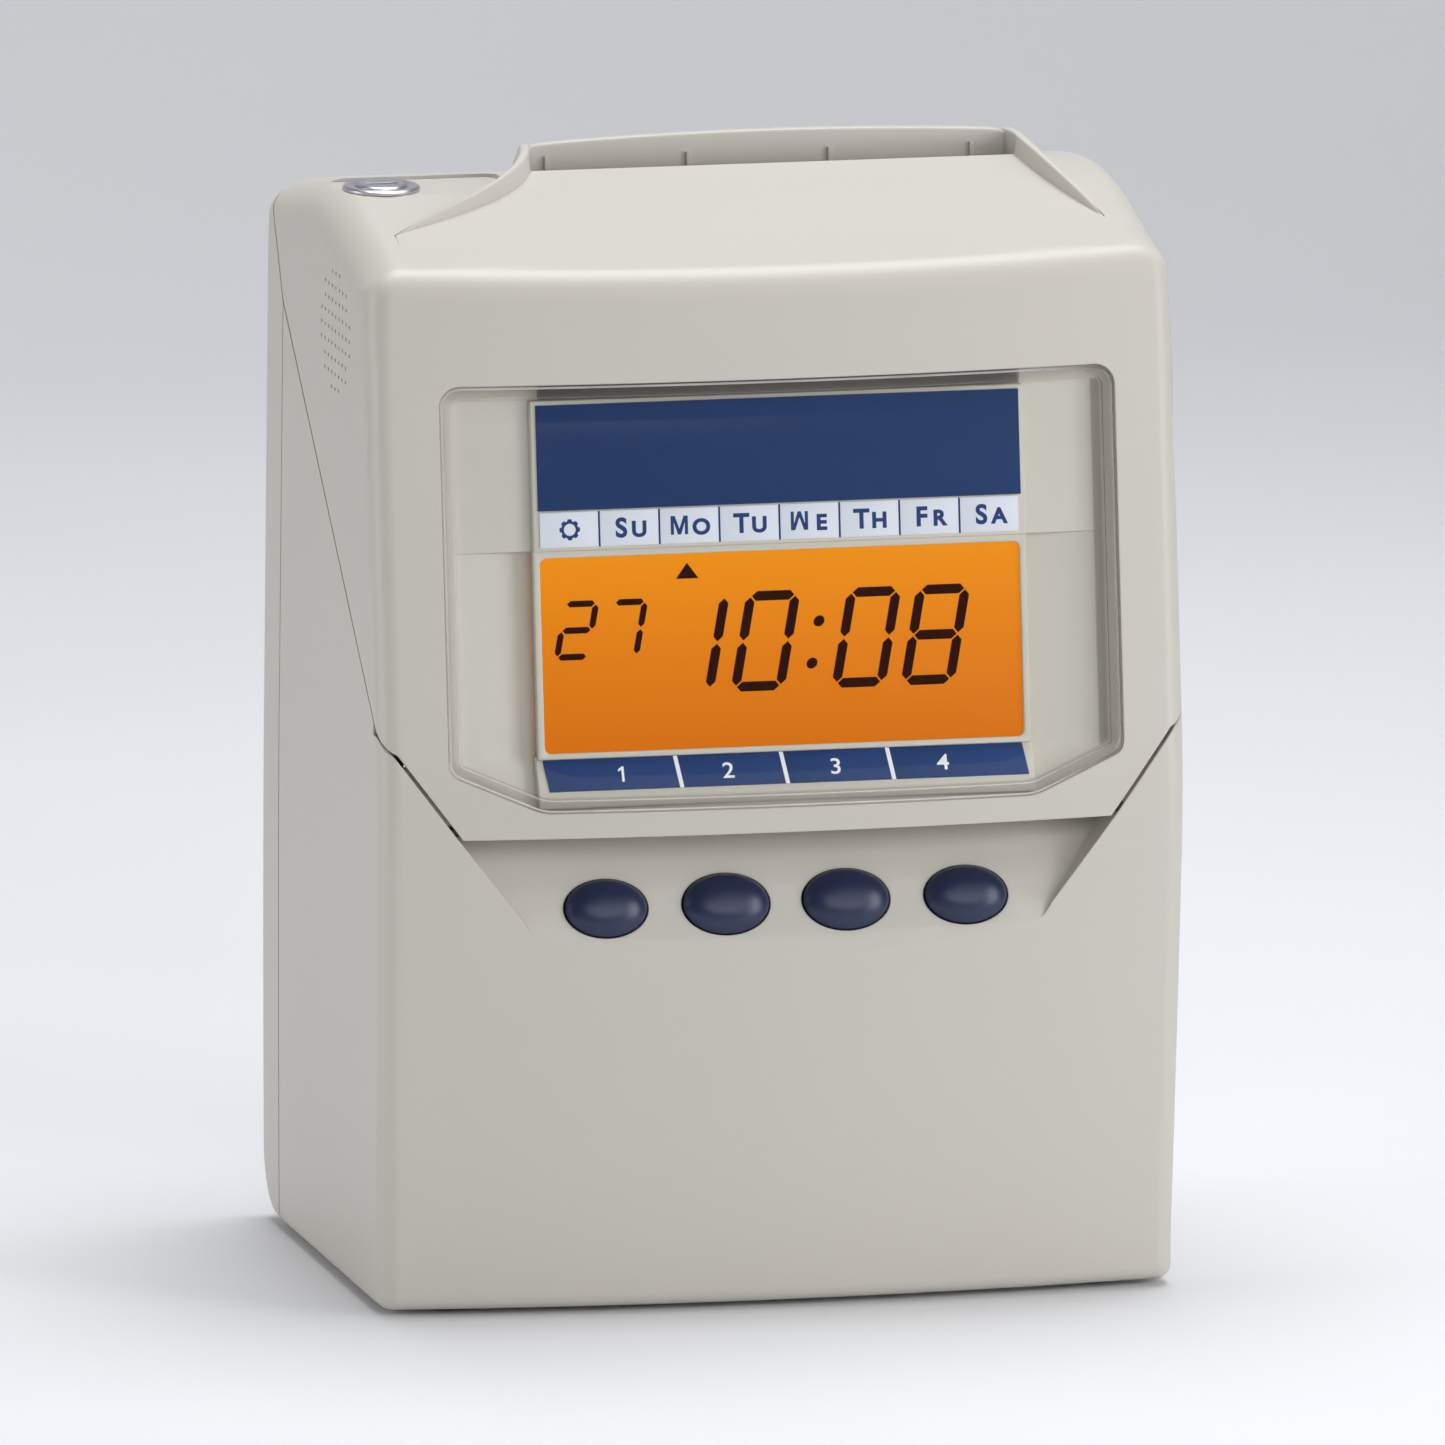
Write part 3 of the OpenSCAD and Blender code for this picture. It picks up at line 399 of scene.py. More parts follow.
def housing_zone():
    y = REAR_SEAM_Y - GAP
    outline = [(-MARGIN, -MARGIN), (y, -MARGIN), (y, seam_z(y)), (-MARGIN, seam_z(-MARGIN))]
    return prism("housing_zone", outline, "x", -FAR, FAR)


def cover_zone():
    y = REAR_SEAM_TOP[0] - GAP
    outline = [(-MARGIN, seam_z(-MARGIN) + GAP), (SEAM_HIGH[0] - GAP, SEAM_HIGH[1] + GAP),
               (y, REAR_SEAM_TOP[1] + GAP), (y, FAR), (-MARGIN, FAR)]
    return prism("cover_zone", outline, "x", -FAR, FAR)


def skirt_space(name, gap, back_y, side_x, top=160):
    """Slab behind the tongue of the cover: slanted sides that stop at side_x or at the top."""
    low_x = SKIRT_X - gap
    slant_top = min(top, SKIRT_LOW + (side_x - low_x) * tan(SKIRT_SLANT))
    high_x = low_x + (slant_top - SKIRT_LOW) / tan(SKIRT_SLANT)
    right = [(low_x, SKIRT_LOW), (high_x, slant_top)]
    if slant_top < top:
        right.append((high_x, top))
    return prism(name, right + [(-x, z) for x, z in right[::-1]], "y", -MARGIN, back_y)


def seam_backing(side):
    """A lip of the housing that passes behind the slanted edge of the tongue and closes the view inside."""
    section = [(-3.2, 3.2), (0.15, 3.2), (0.15, 2.2), (2.2, 2.2), (2.2, 4.6), (-3.2, 4.6)]
    rings = []
    for z in np.linspace(SKIRT_LOW + 3.2, SKIRT_LOW + 17, 14):
        edge = SKIRT_X + (z - SKIRT_LOW) / tan(SKIRT_SLANT)
        rings.append([(side * (edge + out), front_y(edge + out, z) + depth, z) for out, depth in section])
    return stacked("seam_backing", rings)


def recess_cutter(name, grow, radius):
    """The space of the button recess: a slab across the front, cut off by the scooped button panel."""
    (top_x, top_z), (mid_x, mid_z), (low_x, low_z) = RECESS_SIDE
    right = [(low_x + grow, low_z - grow), (mid_x + grow, mid_z), (top_x + grow, top_z),
             (top_x + grow, SKIRT_LOW + 5 + grow)]
    slab = prism(name, right + [(-x, z) for x, z in right[::-1]], "y", -MARGIN, RECESS_BACK_Y + grow)
    trim(slab, above_panel(grow))
    return bevel(slab, radius, 5, 16) if radius else slab


def above_panel(grow):
    """Everything over the panel: a steep lower face that curves back into a flatter upper one."""
    def over(root, tilt):
        slope = Vector((cos(tilt), sin(tilt)))
        return Vector(root) + Vector((slope.y, -slope.x)) * grow, slope
    low, low_slope = over(PANEL_ROOT, PANEL_TILT)
    high, high_slope = over(SCOOP_ROOT, SCOOP_TILT)
    curve = (low + low_slope * 17, low + low_slope * 20.5, high + high_slope * 7)
    points = [low - low_slope * 60] + [between(*curve, i / 8) for i in range(9)]
    points += [high + high_slope * 120, (-120.0, 260.0)]
    return prism("above", points, "x", -FAR, FAR)


def between(start, corner, end, t):
    """A point on the curve that leaves start towards corner and arrives at end from it."""
    return start * (1 - t) ** 2 + corner * 2 * t * (1 - t) + end * t * t


def window_outline(d):
    """Corners of the display window, moved inward by d, with rounded upper corners."""
    side, low_side, low_x = WINDOW_HALF - d, WINDOW_LOW + 9.5 + d * 0.4, 60.5 - d * 0.4
    points = arc(WINDOW_HALF - 5, WINDOW_HIGH - 5, 5 - d, 0, 90, 8)
    points += arc(5 - WINDOW_HALF, WINDOW_HIGH - 5, 5 - d, 90, 180, 8)
    low, middle = WINDOW_LOW + d, (WINDOW_LOW + WINDOW_HIGH) / 2
    points += rounded([(-side, low_side), (-low_x, low)], (-side, middle), (0, low), 2.5)
    points += rounded([(low_x, low), (side, low_side)], (0, low), (side, middle), 2.5)
    return points


def rounded(corners, before, after, r):
    """Replaces each corner by a short curve; before and after are the points on either side of the run."""
    chain = [before] + list(corners) + [after]
    points = []
    for a, b, c in zip(chain, chain[1:], chain[2:]):
        a, b, c = Vector(a), Vector(b), Vector(c)
        start, end = b + (a - b).normalized() * r, b + (c - b).normalized() * r
        points += [tuple(between(start, b, end, i / 4)) for i in range(5)]
    return points


# ---------- the card throat on the roof ----------

LEFT_PATH = [(-87, 48.5), (-72, 58), (-47, 68), (THROAT_LEFT - 0.5, 89.6)]
RIGHT_PATH = [(86.3, 45.5), (82, 55), (77, 67), (FIN_ROOT_RIGHT + 0.5, 89.6)]
FIN_RISE = 4.6
FIN_CREST = 266.9
BACK_PEAK = 268.7
THROAT_FOOT_Z = 236.0
RIB_PITCH = 35.0


def throat_ramp():
    steps = np.linspace(0.02, 1, 20)
    corners = [curve_point(LEFT_PATH, t) for t in steps] + [curve_point(RIGHT_PATH, t) for t in steps[::-1]]
    corners = [(x + copysign(0.3, x), y) for x, y in corners]
    return stacked("ramp", [[(x, y, THROAT_FOOT_Z) for x, y in corners],
                            [(x, y, ramp_z(y) - 0.02) for x, y in corners]])


def fin(name, path, side):
    """A wall that grows out of the roof along path, from its tip to the rear wall; side is -1 on the left."""
    rings = []
    for t in np.linspace(0, 1, 25):
        x, y = curve_point(path, t)
        root = ramp_z(y)
        top = min(FIN_CREST, root + FIN_RISE * (1 - (1 - min(t / 0.8, 1)) ** 1.7))
        width = 0.7 + 1.7 * t
        flare = 1.0 + 2.2 * t
        ring = [(-0.8 * t, root - 7), (-0.8 * t, root), (0, top - 0.5), (0.15, top - 0.18), (0.45, top),
                (width - 0.45, top), (width - 0.15, top - 0.18), (width, top - 0.5),
                (width + flare * 0.3, top - (top - root) * 0.75 - 0.6), (width + flare, root - 7)]
        rings.append([(x + side * out, y, z) for out, z in ring])
    return stacked(name, rings)


def curve_point(points, t):
    """A point on the smooth curve through four control points."""
    p = [Vector(q) for q in points]
    u = 1 - t
    return tuple(p[0] * u**3 + p[1] * 3 * u * u * t + p[2] * 3 * u * t * t + p[3] * t**3)


def throat_back():
    """The rear wall of the throat, with a gently arched crest."""
    middle = (THROAT_LEFT + FIN_ROOT_RIGHT) / 2
    half = (FIN_ROOT_RIGHT - THROAT_LEFT) / 2 + 2.2
    outline = [(middle - half, 240.0), (middle + half, 240.0)]
    for i in range(24, -25, -1):
        s = i / 24
        outline.append((middle + s * half, BACK_PEAK - (BACK_PEAK - FIN_CREST) * s * s - 1.6 * abs(s) ** 40))
    return bevel(prism("throat_back", outline, "y", THROAT_BACK_Y, THROAT_BACK_Y + 3), 0.7, 3, 50)


def slot_cutter():
    """The card slot, from the lip to the rear wall and right up to the inner faces of both fins."""
    def side(path):
        run = [curve_point(path, t) for t in np.linspace(0.5, 1, 60)]
        return [p for p in run if LIP_Y <= p[1] <= THROAT_BACK_Y]
    left, right = side(LEFT_PATH), side(RIGHT_PATH)
    outline = [(left[0][0], LIP_Y)] + left + [(left[-1][0], THROAT_BACK_Y)]
    outline += [(right[-1][0], THROAT_BACK_Y)] + right[::-1] + [(right[0][0], LIP_Y)]
    return prism("slot", outline, "z", THROAT_FOOT_Z - 1, FAR)


def throat_ribs():
    """Four low ribs that keep the card off the rear wall."""
    xs = [CARD_X + i * RIB_PITCH for i in (-1.5, -0.5, 0.5, 1.5)]
    return [box("rib", x - 0.6, x + 0.6, THROAT_BACK_Y - 1, THROAT_BACK_Y + 0.5, 250, 264) for x in xs]


# ---------- the three shells ----------

def copy_of(obj, name):
    return linked(name, obj.data.copy())


def cover_shell(outer, inner, core):
    shell = copy_of(outer, "cover_shell")
    pocket = prism("pocket", rounded_rectangle(-104, -52.5, 62, 91.5, 3), "z", LOCK_Z, 280)
    cut(shell, pocket)
    for added in (throat_ramp(), fin("fin", LEFT_PATH, -1), fin("fin", RIGHT_PATH, 1), throat_back()):
        add(shell, added)
    cut(shell, inner, keep=True)
    trim(shell, add(cover_zone(), skirt_space("skirt", SKIRT_GAP, 16.4, 97.5)))
    ledge = skirt_space("ledge", SKIRT_GAP, 16.0, 95, SKIRT_LOW + WALL)
    trim(ledge, core, keep=True)
    add(shell, ledge)
    cut(shell, prism("window", window_outline(0), "y", -10, 40))
    cut(shell, slot_cutter())
    for rib in throat_ribs():
        add(shell, rib)
    cut(shell, revolve("bore", [(BARREL_R, -40), (BARREL_R, 40)], lock_matrix(), 48))
    cut(shell, sound_holes())
    return shell


def sound_holes():
    """A round patch of small blind holes in the left side, over the speaker."""
    pits = []
    turn = turned(-HALF_W, SPEAKER_Y, SPEAKER_Z, 90, "Y")
    steps = [i * PIT_PITCH for i in range(-4, 5)]
    for a in steps:
        for b in steps:
            if hypot(a, b) < PATCH_R:
                place = turn @ moved(a, b, 0)
                pits.append(revolve("pit", [(0.5, -1), (0.5, 0.35)], place, 12))
    return joined("sound_holes", pits)


def lower_shell(outer, inner, core):
    shell = copy_of(outer, "lower_shell")
    cut(shell, inner, keep=True)
    trim(shell, housing_zone())
    lining = recess_cutter("lining", WALL, 0)
    trim(lining, core, keep=True)
    trim(lining, box("below", -120, 120, -10, 60, 0, SKIRT_LOW + 2))
    add(shell, lining)
    cut(shell, recess_cutter("recess", 0, 2.0))
    cut(shell, skirt_space("skirt", 0, 17, 112))
    for side in (-1, 1):
        add(shell, seam_backing(side))
    for x, width in button_places():
        hole = revolve("hole", [(width / 2 + 0.5, -10), (width / 2 + 0.5, 10)],
                       panel_matrix() @ moved(x, BUTTON_S, 0), 64, BUTTON_RATIO)
        cut(shell, hole)
    return shell


def button_places():
    return [((i - 1.5) * BUTTON_PITCH, 20.0 if i in (0, 3) else 21.0) for i in range(4)]


def rear_shell(outer, inner):
    shell = copy_of(outer, "rear_shell")
    cut(shell, inner, keep=True)
    trim(shell, rear_zone())
    for x in (-86, 86):
        for z in (24, 196):
            place = turned(x, CASE_D, z, 90, "X")
            add(shell, revolve("boss", [(5, 1), (5, 19)], place, 32))
            cut(shell, revolve("hole", [(3.4, -4), (3.4, 8)], place, 32))
    for x in (-55, 55):
        cut(shell, keyhole(x, 205))
    cut(shell, box("inlet", 46, 70, 126, 133, 22, 38))
    for i in range(7):
        x = -64 + i * 8
        cut(shell, bevel(box("slot", x, x + 4, 126, 133, 82, 120), 1.4, 3, 60))
    return shell


def keyhole(x, z):
    """A hanging hole: a round hole with a narrower slot above it."""
    outline = arc(x, z, 2.5, 210, 330, 12) + arc(x, z, 2.5, -30, 60, 8)
    outline += arc(x, z + 7, 1.3, 0, 180, 8) + arc(x, z, 2.5, 120, 210, 8)
    clean = [p for i, p in enumerate(outline) if dist(p, outline[i - 1]) > 0.01]
    return prism("keyhole", clean, "y", 126, 133)


def skin_shading(obj):
    """Smooth shading that follows the true case surface, so that cuts don't disturb it."""
    smooth(obj, 32)
    mesh = obj.data
    co = np.empty(len(mesh.vertices) * 3)
    mesh.vertices.foreach_get("co", co)
    points = co.reshape(-1, 3) * 1000 + np.array([0, CASE_D / 2, -FOOT_H])
    slope = np.empty_like(points)
    for axis in range(3):
        step = np.zeros(3)
        step[axis] = 0.02
        slope[:, axis] = case_distance(points + step) - case_distance(points - step)
    slope /= np.linalg.norm(slope, axis=1)[:, None] + 1e-12
    on_skin = np.abs(case_distance(points)) < 0.3
    normals = np.empty(len(mesh.loops) * 3)
    mesh.corner_normals.foreach_get("vector", normals)
    normals = normals.reshape(-1, 3)
    for face in mesh.polygons:
        ids = list(face.vertices)
        if not on_skin[ids].all() or float(np.dot(slope[ids].mean(0), face.normal)) < 0.9:
            continue
        normals[face.loop_start:face.loop_start + face.loop_total] = slope[ids]
    mesh.normals_split_custom_set([tuple(n) for n in normals])
    return obj


def build_case():
    outer, core, inner = (case_skin("skin", inset) for inset in (0.0, WALL * 0.4, WALL))
    shells = {"upper_cover": cover_shell(outer, inner, core),
              "lower_housing": lower_shell(outer, inner, core),
              "rear_housing": rear_shell(outer, inner)}
    for skin in (outer, core, inner):
        bpy.data.objects.remove(skin)
    for node, shell in shells.items():
        skin_shading(shell)
        present(shell, node, "case_plastic", "cover" if node == "upper_cover" else "case")


# ---------- materials ----------

class Nodes:
    """Short calls for building a shader."""

    def __init__(self, name):
        self.material = bpy.data.materials.new(name)
        self.material.use_nodes = True
        self.tree = self.material.node_tree
        self.tree.nodes.clear()
        self.output = self.add("OutputMaterial")
        self.coords = self.add("TexCoord").outputs["Object"]

    def add(self, kind, inputs=None, **settings):
        node = self.tree.nodes.new("ShaderNode" + kind)
        for key, value in settings.items():
            setattr(node, key, value)
        for key, value in (inputs or {}).items():
            if isinstance(value, bpy.types.NodeSocket):
                self.tree.links.new(value, node.inputs[key])
            else:
                node.inputs[key].default_value = value
        return node

    def noise(self, scale, detail=3.0, stretch=(1, 1, 1)):
        mapping = self.add("Mapping", {"Vector": self.coords, "Scale": stretch})
        return self.add("TexNoise", {"Vector": mapping.outputs[0], "Scale": scale,
                                               "Detail": detail}).outputs["Fac"]

    def ramp(self, value, stops):
        node = self.add("ValToRGB", {"Fac": value})
        elements = node.color_ramp.elements
        while len(elements) < len(stops):
            elements.new(0.5)
        for element, (position, colour) in zip(elements, stops):
            element.position = position
            element.color = colour
        return node.outputs["Color"]

    def scaled(self, value, low, high):
        return self.add("MapRange", {"Value": value, "To Min": low, "To Max": high}).outputs["Result"]

    def compute(self, operation, a, b):
        return self.add("Math", {0: a, 1: b}, operation=operation).outputs[0]

    def mixed(self, factor, a, b):
        """Colour a going over to colour b."""
        return self.add("Mix", {"Factor": factor, "A": a, "B": b}, data_type="RGBA").outputs["Result"]

    def front_only(self, value):
        """The value on faces turned to the viewer, none on their backs, which must not stop light."""
        back = self.add("NewGeometry").outputs["Backfacing"]
        return self.compute("MULTIPLY", value, self.compute("SUBTRACT", 1.0, back))

    def place(self, axis):
        return self.add("SeparateXYZ", {"Vector": self.coords}).outputs[axis]

    def band(self, axis, low, high):
        """One between two places along an axis of the object, in metres, and none elsewhere."""
        place = self.place(axis)
        above, below = self.compute("GREATER_THAN", place, low), self.compute("LESS_THAN", place, high)
        return self.compute("MULTIPLY", above, below)

    def bump(self, height, distance, strength=1.0, normal=None):
        inputs = {"Height": height, "Distance": distance, "Strength": strength}
        if normal:
            inputs["Normal"] = normal
        return self.add("Bump", inputs).outputs["Normal"]

    def finish(self, shader):
        self.tree.links.new(shader.outputs[0], self.output.inputs["Surface"])
        return self.material

    def finish_mixed(self, factor, first, second):
        return self.finish(self.add("MixShader", {0: factor, 1: first.outputs[0], 2: second.outputs[0]}))


def srgb(r, g, b):
    """An on-screen colour, 0 to 255, as the linear colour the shaders take."""
    def linear(c):
        c /= 255
        return c / 12.92 if c <= 0.04045 else ((c + 0.055) / 1.055) ** 2.4
    return linear(r), linear(g), linear(b), 1.0


def shade(colour, factor):
    return (*(min(1.0, c * factor) for c in colour[:3]), 1.0)


def surface(name, colour, roughness, metallic=0, grain=900, depth=20, spread=0.05, edge=0,
            stretch=(1, 1, 1), coat=0, shine=0.5):
    """A mottled finish with uneven gloss, grain (depth in micrometres) and soft edges (millimetres)."""
    n = Nodes(name)
    cloud = n.noise(9.0, 4.0)
    fine = n.noise(grain, 2.0, stretch)
    base = n.ramp(cloud, [(0.3, shade(colour, 1 - spread)), (0.7, shade(colour, 1 + spread))])
    normal = None
    if edge:
        normal = n.add("Bevel", {"Radius": edge / 1000}, samples=4).outputs["Normal"]
    return n.finish(n.add("BsdfPrincipled", {
        "Base Color": base, "Metallic": metallic, "Coat Weight": coat, "Specular IOR Level": shine,
        "Normal": n.bump(fine, depth / 1e6, 0.6, normal),
        "Roughness": n.scaled(fine, roughness * 0.88, min(1.0, roughness * 1.12))}))


def lcd_material():
    """Orange backlight, brighter towards the top."""
    n = Nodes("lcd_orange")
    height = n.add("MapRange", {"Value": n.place("Z"), "From Min": 0.138, "From Max": 0.182})
    glow = n.ramp(height.outputs["Result"], [(0.0, srgb(210, 110, 0)), (0.5, srgb(222, 124, 0)),
                                            (1.0, srgb(234, 142, 2))])
    colour = n.mixed(n.scaled(n.noise(1200.0, 1.0), 0.0, 0.06), glow, srgb(190, 90, 0))
    return n.finish(n.add("BsdfPrincipled", {
        "Base Color": n.mixed(0.8, colour, srgb(0, 0, 0)), "Roughness": 0.6, "Specular IOR Level": 0.15,
        "Emission Color": colour, "Emission Strength": 0.86}))


def pane_material():
    """The clear pane: see-through with a clean reflection, and greyer on a band by its right rim, a painted
    shade for the dark right wall of the bezel seen through it.
    """
    n = Nodes("lens_pane")
    ripple = n.bump(n.noise(60.0, 2.0), 0.00001, 0.3)
    # painted shade: a band at the right edge of the pane darkens what shows through it
    edge = n.compute("MULTIPLY", n.band("X", 0.0772, 0.09), 0.28)
    painted_shade_and_refraction_tint = n.mixed(edge, srgb(254, 254, 254), srgb(150, 147, 148))
    through = n.add("BsdfTransparent", {"Color": painted_shade_and_refraction_tint})
    mirror = n.add("BsdfGlossy", {"Roughness": n.scaled(n.noise(30.0), 0.02, 0.05), "Normal": ripple})
    amount = n.add("Fresnel", {"IOR": 1.49, "Normal": ripple}).outputs[0]
    return n.finish_mixed(n.scaled(n.front_only(amount), 0.0, 0.22), through, mirror)


def rim_painted_light_material():
    """The thick edge of the clear window: see-through, with painted highlight lines from an opaque white
    mixed in where faces turn from view, and a painted brown band at the top for the label seen bent through
    it.
    """
    n = Nodes("lens_rim_painted_light")
    ripple = n.bump(n.noise(60.0, 2.0), 0.00001, 0.3)
    # painted highlight: an opaque white stand-in for the edge of the clear plastic
    solid = n.add("BsdfPrincipled", {
        "Base Color": srgb(226, 224, 226), "Roughness": n.scaled(n.noise(30.0), 0.06, 0.12),
        "Specular IOR Level": 0.6, "Normal": ripple})
    # painted refraction: a brown band along the top of the rim stands for the label seen bent through the
    # thick plastic
    top = n.compute("MULTIPLY", n.band("X", -0.059, 0.059), n.band("Z", 0.2195, 0.3))
    painted_shade_and_refraction_tint = n.mixed(n.compute("MULTIPLY", top, 0.7), srgb(244, 243, 242), srgb(132, 122, 108))
    clear = n.add("BsdfTransparent", {"Color": painted_shade_and_refraction_tint})
    painted_highlight_share = n.add("LayerWeight", {"Blend": 0.45}).outputs["Facing"]
    return n.finish_mixed(n.front_only(n.scaled(painted_highlight_share, 0.05, 0.55)), clear, solid)


def rim_highlight_lines_material():
    """Painted highlight lines in the rim: white on the left, darker on the right as a painted reflection of
    the dark side there.
    """
    n = Nodes("rim_line")
    across = n.add("MapRange", {"Value": n.place("X"), "From Min": 0.060, "From Max": 0.080})
    painted_line_colour = n.ramp(across.outputs["Result"], [(0.0, srgb(232, 230, 232)), (1.0, srgb(112, 108, 112))])
    solid = n.add("BsdfPrincipled", {"Base Color": painted_line_colour, "Roughness": n.scaled(n.noise(40.0), 0.1, 0.2)})
    clear = n.add("BsdfTransparent", {"Color": srgb(244, 243, 244)})
    return n.finish_mixed(n.front_only(n.scaled(n.noise(90.0, 2.0, (1, 1, 0.2)), 0.35, 0.75)), clear, solid)


def board_material():
    """Green circuit board with copper tracks under the lacquer and bright solder points."""
    n = Nodes("circuit_board")
    tracks = n.add("TexBrick", {
        "Vector": n.coords, "Scale": 160.0, "Mortar Size": 0.06, "Color1": srgb(22, 92, 52),
        "Color2": srgb(18, 80, 46), "Mortar": srgb(40, 124, 70)})
    dots = n.add("TexVoronoi", {"Vector": n.coords, "Scale": 380.0, "Randomness": 0.35})
    solder = n.compute("LESS_THAN", dots.outputs["Distance"], 0.16)
    return n.finish(n.add("BsdfPrincipled", {
        "Base Color": n.mixed(solder, tracks.outputs["Color"], srgb(190, 190, 186)),
        "Metallic": n.scaled(solder, 0.0, 0.9), "Roughness": n.scaled(solder, 0.42, 0.25),
        "Normal": n.bump(tracks.outputs["Fac"], 0.00003, 0.5)}))


# on-screen colour and roughness of each plain finish, then what sets it apart
PRINT = dict(grain=2200, depth=4)
LAMINATED = dict(depth=60, stretch=(6, 0.05, 0.05))
FINISHES = {
    "case_plastic": ((193, 189, 181), 0.42, dict(grain=2600, depth=6, spread=0.012, edge=0.5)),
    "bezel_plastic": ((199, 196, 184), 0.5, dict(grain=2600, depth=6, spread=0.02, edge=0.4)),
    "navy": ((34, 58, 102), 0.6, dict(PRINT, spread=0.04, shine=0.12)),
    "strip_navy": ((40, 66, 116), 0.6, dict(PRINT, spread=0.04, shine=0.12)),
    "pale_print": ((216, 222, 232), 0.5, dict(PRINT, spread=0.02)),
    "white_print": ((238, 240, 244), 0.5, dict(PRINT, spread=0.02)),
    "lcd_ink": ((46, 14, 4), 0.6, dict(grain=1500, depth=4, shine=0.05)),
    "button_blue": ((24, 34, 70), 0.34, dict(grain=2600, depth=5, spread=0.04)),
    "chrome": ((196, 196, 204), 0.3, dict(metallic=1, grain=500, depth=4, spread=0.03, edge=0.3)),
    "steel": ((188, 189, 194), 0.3, dict(metallic=1, grain=700, depth=6, stretch=(0.04, 1, 1))),
    "dark_steel": ((58, 58, 62), 0.45, dict(metallic=0.8, grain=700, depth=6)),
    "sheet_metal": ((168, 172, 176), 0.42, dict(metallic=0.9, grain=260, depth=10, spread=0.09)),
    "diffuser": ((236, 232, 216), 0.6, dict(grain=1400)),
    "black_plastic": ((34, 34, 36), 0.5, dict(grain=1500, spread=0.12)),
    "component": ((52, 54, 60), 0.45, dict(grain=1300, spread=0.35)),
    "rubber": ((24, 24, 25), 0.8, dict(grain=1100, depth=40, spread=0.2)),
    "gear_plastic": ((226, 222, 206), 0.4, dict(grain=1600, depth=10)),
    "motor_can": ((150, 152, 156), 0.35, dict(metallic=0.9, grain=600, spread=0.08, stretch=(1, 0.05, 1))),
    "brass": ((200, 168, 92), 0.28, dict(metallic=1, grain=800, spread=0.08)),
    "head_metal": ((74, 76, 80), 0.4, dict(metallic=0.8, grain=700, spread=0.12)),
    "ribbon_ink": ((36, 24, 48), 0.85, dict(grain=2400, depth=40, stretch=(1, 1, 4), spread=0.2)),
    "knob": ((62, 98, 150), 0.42, dict(grain=1500)),
    "battery_wrap": ((70, 142, 92), 0.3, dict(spread=0.1, coat=0.4)),
    "core_steel": ((104, 100, 96), 0.5, dict(LAMINATED, metallic=0.8, grain=1000, spread=0.15)),
}


def make_materials():
    looks = {name: surface(name, srgb(*colour), roughness, **rest)
             for name, (colour, roughness, rest) in FINISHES.items()}
    special = {"lcd": lcd_material(), "lens": pane_material(), "rim": rim_painted_light_material(),
               "rim_line": rim_highlight_lines_material(), "circuit_board": board_material()}
    return looks | special


def present(obj, node, look, body="cover"):
    """Gives a piece its materials and the body it moves with, and hides the CAD node it stands for."""
    obj.data.materials.clear()
    for name in look.split():
        obj.data.materials.append(LOOKS[name])
    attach(obj, body)
    if node:
        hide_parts(node)


# ---------- the clear window ----------

def resampled(outline, count):
    """The closed outline again, as evenly spaced points."""
    points = np.array(outline + outline[:1])
    lengths = np.r_[0, np.cumsum(np.linalg.norm(np.diff(points, axis=0), axis=1))]
    at = np.linspace(0, lengths[-1], count, endpoint=False)
    return np.stack([np.interp(at, lengths, points[:, i]) for i in (0, 1)], axis=1)


def front_y(x, z):
    return BOW * x * x + tan(LEAN) * (z - NOSE_Z)


# rim of the window as (distance inward, depth), the steps painted with highlight lines, and the tray's own
# sizes
RIM = [(0.0, 2.4), (0.0, 0.9), (0.15, 0.5), (0.6, 0.3), (2.3, 0.3), (2.7, 0.55), (2.85, 1.0), (3.3, 1.15)]
HIGHLIGHT_LINE_STEPS = (2, 5)
RIM_POINTS = 320
PANE_FACE = 1.15
PANE_BACK = 2.35


def window_lens():
    """A shallow clear tray: rounded rim, small step, then a flat pane that bows with the case."""
    outer = resampled(window_outline(0.3), RIM_POINTS)
    middle = np.array([0, (WINDOW_LOW + WINDOW_HIGH) / 2 + 2])
    front = [(inward(outer, d), depth) for d, depth in RIM]
    pane = [middle + (front[-1][0] - middle) * share for share in (0.88, 0.7, 0.5, 0.3, 0.12)]
    front += [(ring, PANE_FACE) for ring in pane]
    back = [(inward(outer, RIM[-1][0]), RIM[0][1])] + [(ring, PANE_BACK) for ring in pane]
    rings = front[::-1] + back
    verts = [(x, front_y(x, z) + depth / cos(LEAN), z) for ring, depth in rings for x, z in ring]
    total = len(verts)
    faces = [tuple(range(RIM_POINTS)), tuple(range(total - RIM_POINTS, total))]
    faces += band_faces(len(rings), RIM_POINTS)
    obj = new_object("window_pane", verts, faces)
    present(obj, "window_lens", "lens rim rim_line")
    # bands are counted back from the outer ring, where the rim starts, to the middle of the pane
    parts = [0, 0]
    for j in range(len(rings) - 1):
        step = len(front) - 2 - j
        # material 2 gives the listed rim steps their painted highlight lines
        parts += [2 if step in HIGHLIGHT_LINE_STEPS else int(-1 <= step < len(RIM) - 1)] * RIM_POINTS
    obj.data.polygons.foreach_set("material_index", parts)
    smooth(face_out(obj, weld=True), 40)


def inward(points, distance):
    """Moves each point of a closed outline inward along its own normal."""
    before, after = np.roll(points, 1, axis=0), np.roll(points, -1, axis=0)
    run = after - before
    normal = np.stack([-run[:, 1], run[:, 0]], axis=1)
    normal /= np.linalg.norm(normal, axis=1)[:, None]
    return points + normal * distance


# ---------- the display, drawn flat on the front: x, distance up the slope, height out of it ----------

